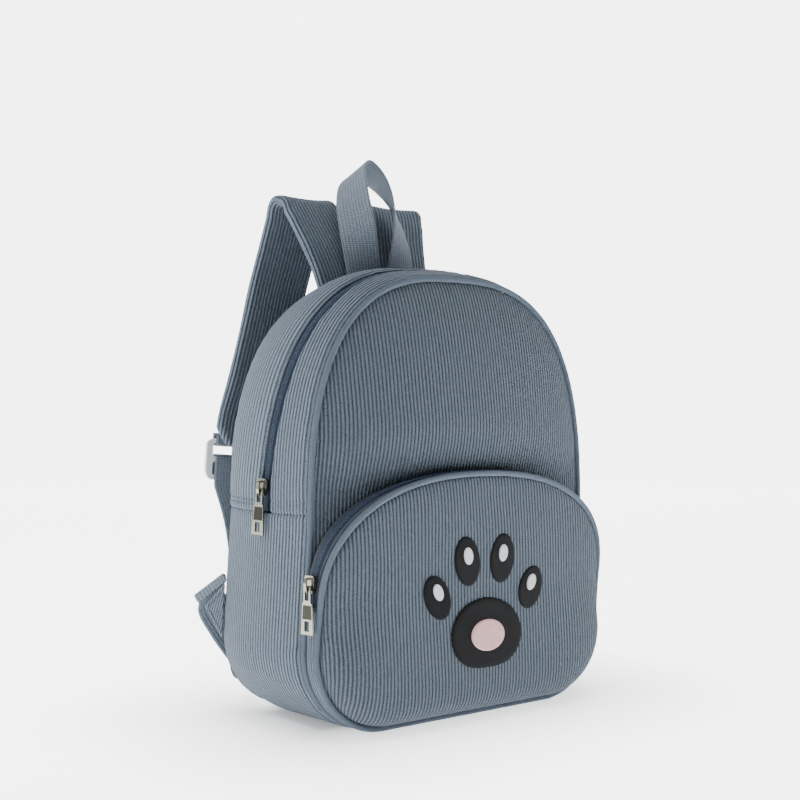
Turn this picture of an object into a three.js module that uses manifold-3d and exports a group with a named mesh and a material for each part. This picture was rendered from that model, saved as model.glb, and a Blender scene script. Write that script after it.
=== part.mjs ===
// A small ribbed-cloth backpack for a child: a domed front, a zipped gusset, a zipped front
// pocket with an embroidered paw, a webbing handle and two padded shoulder straps.
// Millimetres, +Z up, the front faces -Y. The origin is the middle of the base on the floor.
import * as THREE from 'three';
import Module from 'manifold-3d';
import { mergeVertices } from 'three/addons/utils/BufferGeometryUtils.js';

// Bag body
const bagHeight = 300;
const baseHalfWidth = 127;
const sideTaper = 5;
const shoulderHeight = 134;
const archPower = 2.72;
const bottomCorner = 55;
const bagDepth = 96.6;
const topLean = 7;
const topLeanHeight = 120;
const gussetBulge = 9;
const gussetBulgeFade = 40;
const gussetWall = 2.2;
const gussetJointHeight = 142;
const frontBulge = 24;
const frontDomePower = 1.9;
const frontDomeRoundness = 1.35;
const frontWall = 2.2;
const backPadding = 6;
const backDomePower = 12;
const backDomeRoundness = 1.4;
const backWall = 4;
const backSeamGap = 0.1;
const pipingRadius = 2.1;
const pipingProud = 0.5;
const seamGap = 0.3;

// Main zipper, its slider and pull
const zipTopSetback = 23;
const zipEndSetback = 38;
const zipSlopeHeight = 140;
const zipSlotWidth = 10;
const zipTapeWidth = 14;
const zipTapeWall = 1;
const tapeGap = 0.6;
const coilWidth = 4.6;
const coilRise = 1.9;
const mainSliderRise = 16.5;
const mainSliderTurn = 20;
const sliderLength = 11;
const sliderWidth = 8;
const sliderPlate = 2.6;
const bridgeWidth = 2;
const bridgeBar = 1.2;
const bridgeSpan = 8.4;
const sliderLift = 1.6;
const bridgeRise = 4.2;
const pivotClearance = 0.4;
const pullLength = 30;
const pullNeckWidth = 5.6;
const pullNeckLength = 9.6;
const pullShoulder = 1.2;
const pullTopWidth = 7.4;
const pullEndWidth = 9.6;
const pullThickness = 1.3;
const pullBar = 1.2;
const pullWindow = 7.6;
const pullEndBar = 2;
const pullEndWindow = 6.4;
const pullEndWindowWidth = 4;

// Front pocket
const pocketHeight = 166;
const pocketSetIn = 2.5;
const pocketTaper = 1;
const pocketShoulderHeight = 88;
const pocketArchPower = 2.35;
const pocketCorner = 52;
const pocketSideDepth = 12.6;
const pocketTopDepth = 26;
const pocketBulge = 4.5;
const pocketLowDepth = 34;
const pocketLowFrom = 95;
const pocketLowSpan = 70;
const pocketDomePower = 4;
const pocketLowPower = 10;
const pocketDomeRoundness = 2;
const pocketWall = 2.2;
const pocketBandWall = 1.6;
const bandGap = 1;
const bandProud = 0.6;
const pocketZipEndHeight = 84;
const pocketCoilRise = 1;
const pocketSliderHeight = 100;
const pocketSliderTurn = 15;
const pocketSliderShare = 0.6;
const pocketBackRelief = 15;
const reliefFromShare = 1.5;
const reliefSpan = 0.8;
const reliefMost = 0.6;
const pocketZipLift = 0.6;

// Handle
const webbingThickness = 1.6;
const handleWidth = 27;
const handleLegSpacing = 30;
const handleHeight = 87;
const handleSetIn = 3.2;

// Shoulder straps and their webbing
const strapWidth = 50;
const strapThickness = 9;
const strapEndWidth = 30;
const strapTaper = 11;
const strapTurn = 5;
const strapEndShare = 0.8;
const strapFoldHeight = 61;
const strapReach = 45.5;
const strapSpread = 66;
const strapDrop = 181;
const webbingWidth = 25;
const buckleWidth = 38;
const buckleHeight = 30;
const buckleThickness = 2.6;
const buckleBar = 3.4;
const buckleSlotWidth = 28;
const buckleCorner = 6;
const buckleOverlap = 7;
const barClearance = 0.6;
const strapLoopRise = 4;
const strapLoopGap = 1.4;
const buckleShift = 6.5;
const tabTopHeight = 89;
const tabBottomHeight = 51;
const tabTipHeight = 73.5;
const tabReach = 9;
const tabBack = 10;
const tabThickness = 3;
const tabEndShare = 0.97;
const webbingTurnRadius = 4.5;
const webbingLeave = 3;
const slackReach = 40;
const webbingTailLength = 13;

// Embroidered paw
const pawWidth = 104;
const pawCentreHeight = 76;
const stitchLift = 0.5;
const stitchHeight = 0.8;

// How finely curved pieces are faceted
const outlineSteps = 24;
const bagColumns = 56;
const pocketColumns = 48;
const frontRings = [1, 0.96, 0.84, 0.6, 0.3];
const backRings = [1, 0.95, 0.6];
const pocketRings = [1, 0.96, 0.86, 0.68, 0.4];
const handleSteps = 40;
const strapSteps = 31;
const slackSteps = 40;
const gussetStations = 30;
const pipingSides = 6;
const patchColumns = 18;

const clothColour = 0x7a899a;
const bandColour = 0x8693a2;
const zipColour = 0x3f4c59;
const webbingColour = 0x8290a0;
const metalColour = 0xb9b5a8;
const darkThread = 0x14161a;
const whiteThread = 0xe8eaec;
const pinkThread = 0xeebbb8;

const shoulderHalfWidth = baseHalfWidth - sideTaper;
const pocketBaseHalfWidth = baseHalfWidth - pocketSetIn;
const pocketShoulderHalfWidth = pocketBaseHalfWidth - pocketTaper;
const mainSliderHeight = gussetJointHeight + mainSliderRise;
const frontSeam = -bagDepth / 2;
const coilTopInset = gussetWall + tapeGap - coilRise;
const legOffset = buckleThickness / 2 + barClearance + webbingThickness / 2;
const wrapReach = buckleBar / 2 + barClearance + webbingThickness / 2;

const wasm = await Module();
wasm.setup();

const clamp = (share) => Math.min(1, Math.max(0, share));
const mix = (from, to, share) => from + (to - from) * share;
const vec = (x, y, z) => new THREE.Vector3(x, y, z);
const steps = (count) => Array.from({ length: count + 1 }, (unused, index) => index / count);

function smooth(share) {
  const s = clamp(share);
  return s * s * (3 - 2 * s);
}

// A closed outline in the X-Z plane: flat base, round lower corners, tapering sides and an arch.
// Lengths run anticlockwise from the middle of the base, seen from the front.
function makeOutline(size) {
  const half = [new THREE.Vector2(0, size.floor)];
  for (const step of steps(outlineSteps)) {
    const angle = (step * Math.PI) / 2;
    const x = size.baseHalf - size.corner * (1 - Math.sin(angle));
    half.push(new THREE.Vector2(x, size.floor + size.corner * (1 - Math.cos(angle))));
  }
  for (const step of steps(outlineSteps * 2)) {
    const angle = (step * Math.PI) / 2;
    const x = size.shoulderHalf * Math.max(0, Math.cos(angle)) ** (2 / size.power);
    const rise = (size.top - size.shoulder) * Math.sin(angle) ** (2 / size.power);
    half.push(new THREE.Vector2(x, size.shoulder + rise));
  }
  const mirrored = half.slice(0, -1).reverse().map((p) => new THREE.Vector2(-p.x, p.y));
  const points = [...half, ...mirrored];
  const lengths = [0];
  for (let i = 1; i < points.length; i += 1) {
    lengths.push(lengths[i - 1] + points[i].distanceTo(points[i - 1]));
  }
  const total = lengths[lengths.length - 1];
  const place = (length) => {
    const along = ((length % total) + total) % total;
    let i = 1;
    while (i < lengths.length - 1 && lengths[i] < along) i += 1;
    const share = (along - lengths[i - 1]) / Math.max(1e-9, lengths[i] - lengths[i - 1]);
    return points[i - 1].clone().lerp(points[i], clamp(share));
  };
  const at = (length) => {
    const here = place(length);
    const tangent = place(length + 1.5).sub(place(length - 1.5)).normalize();
    return { x: here.x, z: here.y, nx: tangent.y, nz: -tangent.x };
  };
  const lengthAtHeight = (height) => {
    let low = lengths[outlineSteps + 1];
    let high = total / 2;
    for (let i = 0; i < 40; i += 1) {
      const middle = (low + high) / 2;
      if (place(middle).y < height) low = middle;
      else high = middle;
    }
    return low;
  };
  const topAt = (x) => {
    const share = clamp(Math.abs(x) / size.shoulderHalf);
    return size.shoulder + (size.top - size.shoulder) * (1 - share ** size.power) ** (1 / size.power);
  };
  return { at, total, lengthAtHeight, topAt };
}

// A loop of evenly spaced outline points, moved inwards by inset.
function outlineLoop(outline, inset, columns) {
  return Array.from({ length: columns }, (unused, column) => {
    const p = outline.at((outline.total * column) / columns);
    return new THREE.Vector2(p.x - p.nx * inset, p.z - p.nz * inset);
  });
}

// Gives how far out a point lies: 0 at the centre and 1 on the loop.
function makeShareOf(loop, centre) {
  const angles = loop.map((p) => Math.atan2(p.x, centre.y - p.y));
  const radii = loop.map((p) => p.distanceTo(centre));
  const turn = 2 * Math.PI;
  return (x, z) => {
    const angle = (Math.atan2(x, centre.y - z) + turn) % turn;
    for (let i = 0; i < loop.length; i += 1) {
      const next = (i + 1) % loop.length;
      const from = (angles[i] + turn) % turn;
      const to = next === 0 ? turn : (angles[next] + turn) % turn;
      if (angle >= from && angle <= to) {
        const radius = mix(radii[i], radii[next], (angle - from) / Math.max(1e-9, to - from));
        return Math.hypot(x, z - centre.y) / radius;
      }
    }
    return 1;
  };
}

const dome = (share, power, roundness) => (1 - clamp(share) ** power) ** (1 / roundness);

const bagOutline = makeOutline({
  baseHalf: baseHalfWidth,
  shoulderHalf: shoulderHalfWidth,
  shoulder: shoulderHeight,
  top: bagHeight,
  power: archPower,
  corner: bottomCorner,
  floor: 0,
});
const pocketFloor = pipingRadius + pipingProud;
const pocketOutline = makeOutline({
  baseHalf: pocketBaseHalfWidth,
  shoulderHalf: pocketShoulderHalfWidth,
  shoulder: pocketShoulderHeight,
  top: pocketHeight,
  power: pocketArchPower,
  corner: pocketCorner,
  floor: pocketFloor,
});
// The front piping's middle line stands just inside the bag's outline and clear of the floor.
const pipingInset = pipingRadius - pipingProud;
const pipingOutline = makeOutline({
  baseHalf: baseHalfWidth - pipingInset,
  shoulderHalf: shoulderHalfWidth - pipingInset,
  shoulder: shoulderHeight,
  top: bagHeight - pipingInset,
  power: archPower,
  corner: bottomCorner - pipingInset,
  floor: pipingRadius + seamGap,
});
const bagCentre = new THREE.Vector2(0, bagHeight / 2);
const pocketCentre = new THREE.Vector2(0, pocketHeight / 2);
const panelInset = pipingRadius + seamGap;
const bagShareOf = makeShareOf(outlineLoop(pipingOutline, panelInset, 240), bagCentre);
const pocketShareOf = makeShareOf(outlineLoop(pocketOutline, panelInset, 240), pocketCentre);

const backSeam = (z) => bagDepth / 2 - topLean * smooth((z - bagHeight + topLeanHeight) / topLeanHeight);

// The zipper runs level over the arch and slopes back towards its lower ends.
function zipLine(z) {
  const share = clamp((bagHeight - z) / zipSlopeHeight);
  return frontSeam + mix(zipTopSetback, zipEndSetback, share);
}

// A point of the gusset at a length along the outline, at depth y and inset below its face.
function gussetPoint(length, y, inset) {
  const p = bagOutline.at(length);
  const across = clamp((y - frontSeam) / (backSeam(p.z) - frontSeam));
  const bulge = gussetBulge * 4 * across * (1 - across) * clamp(p.z / gussetBulgeFade);
  return vec(p.x + p.nx * (bulge - inset), y, p.z + p.nz * (bulge - inset));
}

// The front panel's face: a dome that dips above and behind the pocket.
function frontFace(x, z) {
  const relief = pocketBackRelief * smooth((reliefFromShare - pocketShareOf(x, z)) / reliefSpan);
  const bulge = frontBulge * dome(bagShareOf(x, z), frontDomePower, frontDomeRoundness);
  return frontSeam - bulge + Math.min(relief, bulge * reliefMost);
}

// How far forward the pocket's edge stands at a height: least at its base, most at its top.
function pocketEdge(z) {
  const share = smooth((z - pocketCorner) / (pocketHeight - pocketCorner));
  return frontSeam - mix(pocketSideDepth, pocketTopDepth, share);
}

// The pocket's face is fuller near its base.
function pocketFace(x, z) {
  const low = smooth((pocketLowFrom - z) / pocketLowSpan);
  const crown = frontSeam - mix(pocketTopDepth + pocketBulge, pocketLowDepth, low);
  const power = mix(pocketDomePower, pocketLowPower, low);
  return mix(pocketEdge(z), crown, dome(pocketShareOf(x, z), power, pocketDomeRoundness));
}

function signedVolume(positions, triangles) {
  let volume = 0;
  for (const [a, b, c] of triangles) {
    volume += positions[a].dot(positions[b].clone().cross(positions[c]));
  }
  return volume / 6;
}

// Turns points and triangles into a closed geometry whose faces point out.
function closedGeometry(positions, triangles) {
  const flip = signedVolume(positions, triangles) < 0;
  const index = triangles.flatMap(([a, b, c]) => (flip ? [a, c, b] : [a, b, c]));
  const geometry = new THREE.BufferGeometry();
  geometry.setAttribute('position', new THREE.Float32BufferAttribute(positions.flatMap((p) => p.toArray()), 3));
  geometry.setIndex(index);
  geometry.computeVertexNormals();
  return geometry;
}

// A wall between two matching grids of points, closed along its edges.
function shell(face, back) {
  const rows = face.length;
  const columns = face[0].length;
  const positions = [...face.flat(), ...back.flat()];
  const front = (row, column) => row * columns + column;
  const rear = (row, column) => rows * columns + row * columns + column;
  const triangles = [];
  const quad = (a, b, c, d) => triangles.push([a, b, c], [a, c, d]);
  for (let row = 0; row < rows - 1; row += 1) {
    for (let column = 0; column < columns - 1; column += 1) {
      quad(front(row, column), front(row, column + 1), front(row + 1, column + 1), front(row + 1, column));
      quad(rear(row, column), rear(row + 1, column), rear(row + 1, column + 1), rear(row, column + 1));
    }
    quad(front(row, 0), front(row + 1, 0), rear(row + 1, 0), rear(row, 0));
    const last = columns - 1;
    quad(front(row, last), rear(row, last), rear(row + 1, last), front(row + 1, last));
  }
  for (let column = 0; column < columns - 1; column += 1) {
    quad(front(0, column), rear(0, column), rear(0, column + 1), front(0, column + 1));
    const last = rows - 1;
    quad(front(last, column), front(last, column + 1), rear(last, column + 1), rear(last, column));
  }
  return closedGeometry(positions, triangles);
}

// A domed panel: rings of points that shrink to a centre point, with a second skin behind.
function panel(outline, centre, inset, wall, columns, shares, facePoint, backPoint) {
  const positions = [];
  const triangles = [];
  const addSkin = (skinInset, point) => {
    const start = positions.length;
    const loop = outlineLoop(outline, skinInset, columns);
    for (const share of shares) {
      for (const p of loop) {
        const flat = centre.clone().lerp(p, share);
        positions.push(point(flat.x, flat.y, share));
      }
    }
    positions.push(point(centre.x, centre.y, 0));
    const middle = positions.length - 1;
    for (let ring = 0; ring < shares.length; ring += 1) {
      for (let column = 0; column < columns; column += 1) {
        const next = (column + 1) % columns;
        const a = start + ring * columns + column;
        const b = start + ring * columns + next;
        if (ring === shares.length - 1) triangles.push([a, b, middle]);
        else triangles.push([a, b, b + columns], [a, b + columns, a + columns]);
      }
    }
    return start;
  };
  const face = addSkin(inset, facePoint);
  const faceTriangles = triangles.length;
  const back = addSkin(inset + wall, backPoint);
  for (let i = faceTriangles; i < triangles.length; i += 1) triangles[i].reverse();
  for (let column = 0; column < columns; column += 1) {
    const next = (column + 1) % columns;
    triangles.push([face + next, face + column, back + column], [face + next, back + column, back + next]);
  }
  return closedGeometry(positions, triangles);
}

// A round cord sewn along a loop of the outline, its depth given for each point.
function pipingRing(outline, inset, columns, depthAt) {
  const loop = outlineLoop(outline, inset, columns);
  const positions = [];
  const triangles = [];
  for (let column = 0; column < columns; column += 1) {
    const p = outline.at((outline.total * column) / columns);
    const centre = vec(loop[column].x, depthAt(loop[column].y), loop[column].y);
    for (let side = 0; side < pipingSides; side += 1) {
      const angle = (2 * Math.PI * side) / pipingSides;
      const out = pipingRadius * Math.cos(angle);
      positions.push(centre.clone().add(vec(p.nx * out, pipingRadius * Math.sin(angle), p.nz * out)));
      const a = column * pipingSides + side;
      const b = column * pipingSides + ((side + 1) % pipingSides);
      const c = ((column + 1) % columns) * pipingSides + ((side + 1) % pipingSides);
      const d = ((column + 1) % columns) * pipingSides + side;
      triangles.push([a, b, c], [a, c, d]);
    }
  }
  return closedGeometry(positions, triangles);
}

// A strip of cloth between two lengths of the outline and two depths, as a thin shell.
function gussetStrip(fromLength, toLength, stations, edges, insets, wall) {
  const grid = (deeper) => steps(stations).map((share) => {
    const length = mix(fromLength, toLength, share);
    const z = bagOutline.at(length).z;
    return edges(z).map((y, i) => gussetPoint(length, y, deeper ? deepInset(insets[i], wall) : insets[i]));
  });
  return shell(grid(false), grid(true));
}

const deepInset = (inset, wall) => Math.max(inset, 0) + wall;

function evenDepths(from, to, count) {
  return steps(count).map((share) => mix(from, to, share));
}

const frontEdge = frontSeam + pipingRadius + seamGap;
const backEdge = (z) => backSeam(z) - seamGap;
const jointLength = bagOutline.lengthAtHeight(gussetJointHeight);
const upperFrom = jointLength;
const upperTo = bagOutline.total - jointLength;
const bareInsets = (count) => Array.from({ length: count + 1 }, () => 0);

function frontStrip() {
  const edges = (z) => evenDepths(frontEdge, zipLine(z) - zipSlotWidth / 2, 2);
  return gussetStrip(upperFrom, upperTo, gussetStations, edges, bareInsets(2), gussetWall);
}

function backStrip() {
  const edges = (z) => evenDepths(zipLine(z) + zipSlotWidth / 2, backEdge(z), 4);
  return gussetStrip(upperFrom, upperTo, gussetStations, edges, bareInsets(4), gussetWall);
}

function lowerGusset() {
  const edges = (z) => evenDepths(frontEdge, backEdge(z), 4);
  const from = -jointLength + seamGap;
  const to = jointLength - seamGap;
  return gussetStrip(from, to, gussetStations + 2, edges, bareInsets(4), gussetWall);
}

function mainZipper() {
  const tape = gussetWall + tapeGap;
  const half = zipTapeWidth / 2;
  const offsets = [-half, -coilWidth / 2 - 0.2, -coilWidth / 2, coilWidth / 2, coilWidth / 2 + 0.2, half];
  const insets = [tape, tape, coilTopInset, coilTopInset, tape, tape];
  const edges = (z) => offsets.map((offset) => zipLine(z) + offset);
  const grid = (back) => steps(gussetStations).map((share) => {
    const length = mix(upperFrom, upperTo, share);
    const depths = edges(bagOutline.at(length).z);
    return depths.map((y, i) => gussetPoint(length, y, back ? tape + zipTapeWall : insets[i]));
  });
  return shell(grid(false), grid(true));
}

function frontPanel() {
  const face = (x, z, share) => vec(x, share === 1 ? frontSeam : frontFace(x, z), z);
  const back = (x, z, share) => {
    const bagShare = Math.min(share, bagShareOf(x, z));
    const surface = share === 1 ? frontSeam : frontFace(x, z);
    return vec(x, surface + (share === 1 ? 0 : frontWall * clamp((1 - bagShare) / (1 - frontRings[1]))), z);
  };
  return panel(pipingOutline, bagCentre, panelInset, frontWall, bagColumns, frontRings, face, back);
}

function backPanel() {
  const seam = (z) => backSeam(z) + backSeamGap;
  const face = (x, z, share) => vec(x, seam(z) + backPadding * dome(share, backDomePower, backDomeRoundness), z);
  const hollow = backPadding - backWall;
  const back = (x, z, share) => vec(x, seam(z) + hollow * dome(share, backDomePower, backDomeRoundness), z);
  return panel(bagOutline, bagCentre, seamGap, backWall, bagColumns, backRings, face, back);
}

function pocketPanel() {
  const face = (x, z, share) => vec(x, share === 1 ? pocketEdge(z) : pocketFace(x, z), z);
  const back = (x, z, share) => {
    const surface = share === 1 ? pocketEdge(z) : pocketFace(x, z);
    return vec(x, surface + (share === 1 ? 0 : pocketWall * clamp((1 - share) / (1 - pocketRings[1]))), z);
  };
  return panel(pocketOutline, pocketCentre, panelInset, pocketWall, pocketColumns, pocketRings, face, back);
}

// The band between the front panel and the pocket's edge piping, with an optional raised coil.
function pocketBand(fromLength, toLength, stations, coil) {
  const profile = coil ? [0, 0.3, 0.34, 0.8, 0.84, 1] : [0, 0.5, 1];
  const rise = coil ? [0, 0, coil, coil, 0, 0] : [0, 0, 0];
  const grid = (back) => steps(stations).map((share) => {
    const p = pocketOutline.at(mix(fromLength, toLength, share));
    return profile.map((part, i) => {
      const offset = back ? bandProud - pocketBandWall : bandProud + rise[i];
      const x = p.x + p.nx * offset;
      const z = Math.max(p.z + p.nz * offset, seamGap);
      const onPiping = frontSeam - pipingRadius;
      const rear = Math.min(frontFace(x, z), onPiping) - bandGap;
      const fore = pocketEdge(p.z) + pipingRadius + seamGap;
      return vec(x, mix(rear, Math.min(fore, rear - pocketZipLift), part), z);
    });
  });
  return shell(grid(false), grid(true));
}

const pocketZipLength = pocketOutline.lengthAtHeight(pocketZipEndHeight);

function pocketZipper() {
  return pocketBand(pocketZipLength, pocketOutline.total - pocketZipLength, 26, pocketCoilRise);
}

function pocketSideStrip() {
  return pocketBand(-pocketZipLength + seamGap, pocketZipLength - seamGap, 26, 0);
}

// A flat band that follows stations, each with a middle, a direction across and half sizes.
function band(stations, sideShares) {
  const frames = stations.map((station, i) => {
    const before = stations[Math.max(0, i - 1)].middle;
    const after = stations[Math.min(stations.length - 1, i + 1)].middle;
    const along = after.clone().sub(before).normalize();
    const across = station.across.clone().normalize();
    const normal = along.clone().cross(across).normalize();
    return { ...station, across, normal };
  });
  const grid = (sign) => frames.map((frame) => sideShares.map(({ side, thick }) => {
    const point = frame.middle.clone().addScaledVector(frame.across, side * frame.halfWidth);
    point.addScaledVector(frame.normal, sign * thick * frame.halfThickness);
    return frame.settle ? frame.settle(point) : point;
  }));
  return shell(grid(1), grid(-1));
}

const flatEdge = [{ side: -1, thick: 1 }, { side: 1, thick: 1 }];
const paddedEdge = [
  { side: -1, thick: 0.5 },
  { side: -0.9, thick: 0.95 },
  { side: 0, thick: 1 },
  { side: 0.9, thick: 0.95 },
  { side: 1, thick: 0.5 },
];

// Smooths a short list of points into many, through every one of them.
function throughPoints(points, count) {
  const curve = new THREE.CatmullRomCurve3(points, false, 'centripetal');
  curve.arcLengthDivisions = 400;
  return steps(count).map((share) => curve.getPointAt(share));
}

// The direction across a ribbon: turned about Z from +X towards -Y, then tilted up.
function acrossFrom(turnDegrees, tiltDegrees) {
  const turn = THREE.MathUtils.degToRad(turnDegrees);
  const tilt = THREE.MathUtils.degToRad(tiltDegrees);
  return vec(Math.cos(turn) * Math.cos(tilt), -Math.sin(turn) * Math.cos(tilt), Math.sin(tilt));
}

// The handle is one length of webbing whose legs are sewn side by side, so that it twists
// half a turn on its way over. Columns: across and rise are shares of the leg spacing and of
// the handle's height, back is a share of the width, turn and tilt are in degrees.
const handleShape = [
  { across: -0.5, rise: 0, back: 0, turn: 0, tilt: 0 },
  { across: -0.53, rise: 0.18, back: 0.01, turn: 8, tilt: 0 },
  { across: -0.61, rise: 0.46, back: 0.1, turn: 29, tilt: 2 },
  { across: -0.62, rise: 0.74, back: 0.33, turn: 55, tilt: 10 },
  { across: -0.45, rise: 0.93, back: 0.56, turn: 73, tilt: 20 },
  { across: -0.1, rise: 1, back: 0.7, turn: 85, tilt: 24 },
  { across: 0.28, rise: 0.93, back: 0.62, turn: 100, tilt: 18 },
  { across: 0.56, rise: 0.77, back: 0.4, turn: 122, tilt: 8 },
  { across: 0.69, rise: 0.5, back: 0.13, turn: 156, tilt: 2 },
  { across: 0.67, rise: 0.2, back: 0.02, turn: 180, tilt: 0 },
  { across: 0.62, rise: 0, back: 0, turn: 184, tilt: 0 },
];

function handle() {
  const seat = backSeam(bagHeight) - handleSetIn;
  const footLength = bagOutline.total / 2;
  const foot = gussetPoint(footLength, seat - webbingThickness / 2, 0).z + seamGap;
  const middles = throughPoints(handleShape.map((row) => vec(
    row.across * handleLegSpacing,
    seat + row.back * handleWidth,
    foot + row.rise * handleHeight,
  )), handleSteps);
  const crosses = throughPoints(handleShape.map((row) => acrossFrom(row.turn, row.tilt)), handleSteps);
  return band(middles.map((middle, i) => ({
    middle,
    across: crosses[i],
    halfWidth: handleWidth / 2,
    halfThickness: webbingThickness / 2,
  })), flatEdge);
}

// The shoulder strap's middle line. Columns: spread, reach back and height are shares of
// strapSpread, strapReach and, above the seam, strapFoldHeight or, below it, strapDrop.
const strapRise = [
  { spread: 0, reach: 0, rise: 0 },
  { spread: 0.03, reach: 0.08, rise: 0.19 },
  { spread: 0.12, reach: 0.32, rise: 0.6 },
  { spread: 0.19, reach: 0.49, rise: 0.86 },
  { spread: 0.225, reach: 0.62, rise: 0.985 },
  { spread: 0.245, reach: 0.72, rise: 1 },
  { spread: 0.265, reach: 0.82, rise: 0.975 },
];
const strapFall = [
  { spread: 0.285, reach: 0.9, fall: 0.085 },
  { spread: 0.35, reach: 0.96, fall: 0.2 },
  { spread: 0.47, reach: 1, fall: 0.37 },
  { spread: 0.6, reach: 0.99, fall: 0.56 },
  { spread: 0.79, reach: 0.93, fall: 0.78 },
  { spread: 0.94, reach: 0.84, fall: 0.925 },
  { spread: 0.98, reach: 0.81, fall: 1 },
];

function strapMiddle(row) {
  const base = backSeam(bagHeight) + strapThickness / 2 + seamGap;
  const top = bagHeight + strapFoldHeight;
  const z = 'rise' in row ? bagHeight + row.rise * strapFoldHeight : top - row.fall * strapDrop;
  const x = strapWidth / 2 + seamGap + row.spread * strapSpread;
  return vec(x, base + row.reach * strapReach, z);
}

const strapPoints = throughPoints([...strapRise, ...strapFall].map(strapMiddle), strapSteps);

function shoulderStrap(side) {
  const last = strapPoints.length - 1;
  const end = strapPoints[last];
  const stations = strapPoints.map((point, i) => {
    const before = strapPoints[Math.max(0, i - 1)];
    const after = strapPoints[Math.min(last, i + 1)];
    const along = after.clone().sub(before).normalize();
    const level = vec(1, -Math.tan(THREE.MathUtils.degToRad(strapTurn)) * smooth(i / last), 0);
    const across = level.addScaledVector(along, -along.dot(level)).normalize();
    const taper = clamp(point.distanceTo(end) / strapTaper);
    return {
      middle: vec(side * point.x, point.y, point.z),
      across: i === 0 ? vec(1, 0, 0) : vec(across.x, side * across.y, side * across.z),
      halfWidth: mix(strapEndWidth, strapWidth, i > last / 2 ? taper : 1) / 2,
      halfThickness: (strapThickness / 2) * mix(strapEndShare, 1, i > last / 2 ? taper : 1),
      settle: i === 0 ? (p) => vec(p.x, p.y, bagOutline.topAt(p.x) + seamGap) : undefined,
    };
  });
  return band(stations, paddedEdge);
}

// The buckle hangs in line with the strap's end. Its own axes: across, up the strap, and back.
function buckleFrame() {
  const end = strapPoints[strapPoints.length - 1];
  const up = vec(-0.08, 0.02, 1).normalize();
  const across = vec(1, 0, 0).addScaledVector(up, -up.x).normalize();
  const back = up.clone().cross(across).normalize();
  const behind = strapThickness / 2 + strapLoopGap + webbingThickness / 2 + legOffset;
  const centre = end.clone().addScaledVector(up, buckleOverlap - buckleHeight / 2).addScaledVector(back, behind);
  centre.x += buckleShift;
  return { centre, across, up, back };
}

const buckleAxes = buckleFrame();

function inBuckle(across, up, back) {
  return buckleAxes.centre.clone()
    .addScaledVector(buckleAxes.across, across)
    .addScaledVector(buckleAxes.up, up)
    .addScaledVector(buckleAxes.back, back);
}

function roundedRectangle(path, halfWidth, low, high, radius) {
  const r = Math.min(radius, halfWidth, (high - low) / 2);
  path.moveTo(-halfWidth + r, low);
  path.lineTo(halfWidth - r, low);
  path.absarc(halfWidth - r, low + r, r, -Math.PI / 2, 0);
  path.lineTo(halfWidth, high - r);
  path.absarc(halfWidth - r, high - r, r, 0, Math.PI / 2);
  path.lineTo(-halfWidth + r, high);
  path.absarc(-halfWidth + r, high - r, r, Math.PI / 2, Math.PI);
  path.lineTo(-halfWidth, low + r);
  path.absarc(-halfWidth + r, low + r, r, Math.PI, Math.PI * 1.5);
  return path;
}

function extrudeFlat(shape, thickness, curveSegments) {
  const geometry = new THREE.ExtrudeGeometry(shape, { depth: thickness, bevelEnabled: false, curveSegments });
  return geometry.translate(0, 0, -thickness / 2);
}

const buckleSlot = (buckleHeight - 3 * buckleBar) / 2;

function buckle(side) {
  const half = buckleHeight / 2;
  const shape = roundedRectangle(new THREE.Shape(), buckleWidth / 2, -half, half, buckleCorner);
  for (const low of [-half + buckleBar, buckleBar / 2]) {
    shape.holes.push(roundedRectangle(new THREE.Path(), buckleSlotWidth / 2, low, low + buckleSlot, 2));
  }
  const geometry = extrudeFlat(shape, buckleThickness, 2);
  const { across, up, back, centre } = buckleAxes;
  const front = back.clone().negate();
  geometry.applyMatrix4(new THREE.Matrix4().makeBasis(across, up, front).setPosition(centre));
  return mirrorTo(geometry, side);
}

// Mirrors a geometry made for the +X side to the -X side, with its faces still pointing out.
function mirrorTo(geometry, side) {
  if (side > 0) return geometry;
  const mirrored = geometry.index ? geometry.toNonIndexed() : geometry.clone();
  mirrored.scale(-1, 1, 1);
  const place = mirrored.attributes.position;
  for (let i = 0; i < place.count; i += 3) {
    const b = new THREE.Vector3().fromBufferAttribute(place, i + 1);
    const c = new THREE.Vector3().fromBufferAttribute(place, i + 2);
    place.setXYZ(i + 1, c.x, c.y, c.z);
    place.setXYZ(i + 2, b.x, b.y, b.z);
  }
  mirrored.computeVertexNormals();
  return mirrored;
}

// Half a turn of webbing close around a bar of the buckle, above it or below it.
function halfTurn(barUp, upward, count) {
  return steps(count).map((share) => {
    const rise = Math.sin(Math.PI * share) ** 0.5;
    const side = Math.cos(Math.PI * share);
    return inBuckle(0, barUp + upward * wrapReach * rise, -legOffset * Math.sign(side) * Math.abs(side) ** 0.5);
  });
}

function webbingStations(points, crosses, thickness) {
  return points.map((middle, i) => ({
    middle,
    across: crosses[i],
    halfWidth: webbingWidth / 2,
    halfThickness: thickness / 2,
  }));
}

// A short loop of webbing that hangs the buckle's top bar from the strap's end.
function strapLoop(side) {
  const barUp = buckleHeight / 2 - buckleBar / 2;
  const top = buckleHeight / 2 + strapLoopRise;
  const turn = halfTurn(barUp, -1, 8);
  const points = [inBuckle(0, top, -legOffset), ...turn, inBuckle(0, top, legOffset)];
  const geometry = band(webbingStations(points, points.map(() => buckleAxes.across), webbingThickness), flatEdge);
  return mirrorTo(geometry, side);
}

// The corner tab is a folded triangle of cloth sewn in the back seam.
const tabTip = vec(baseHalfWidth + tabReach, bagDepth / 2 + tabBack, tabTipHeight);

function tabCorner(height) {
  const edge = bagOutline.at(bagOutline.lengthAtHeight(height));
  return vec(edge.x + seamGap, bagDepth / 2 + 1.2, height);
}

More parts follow.
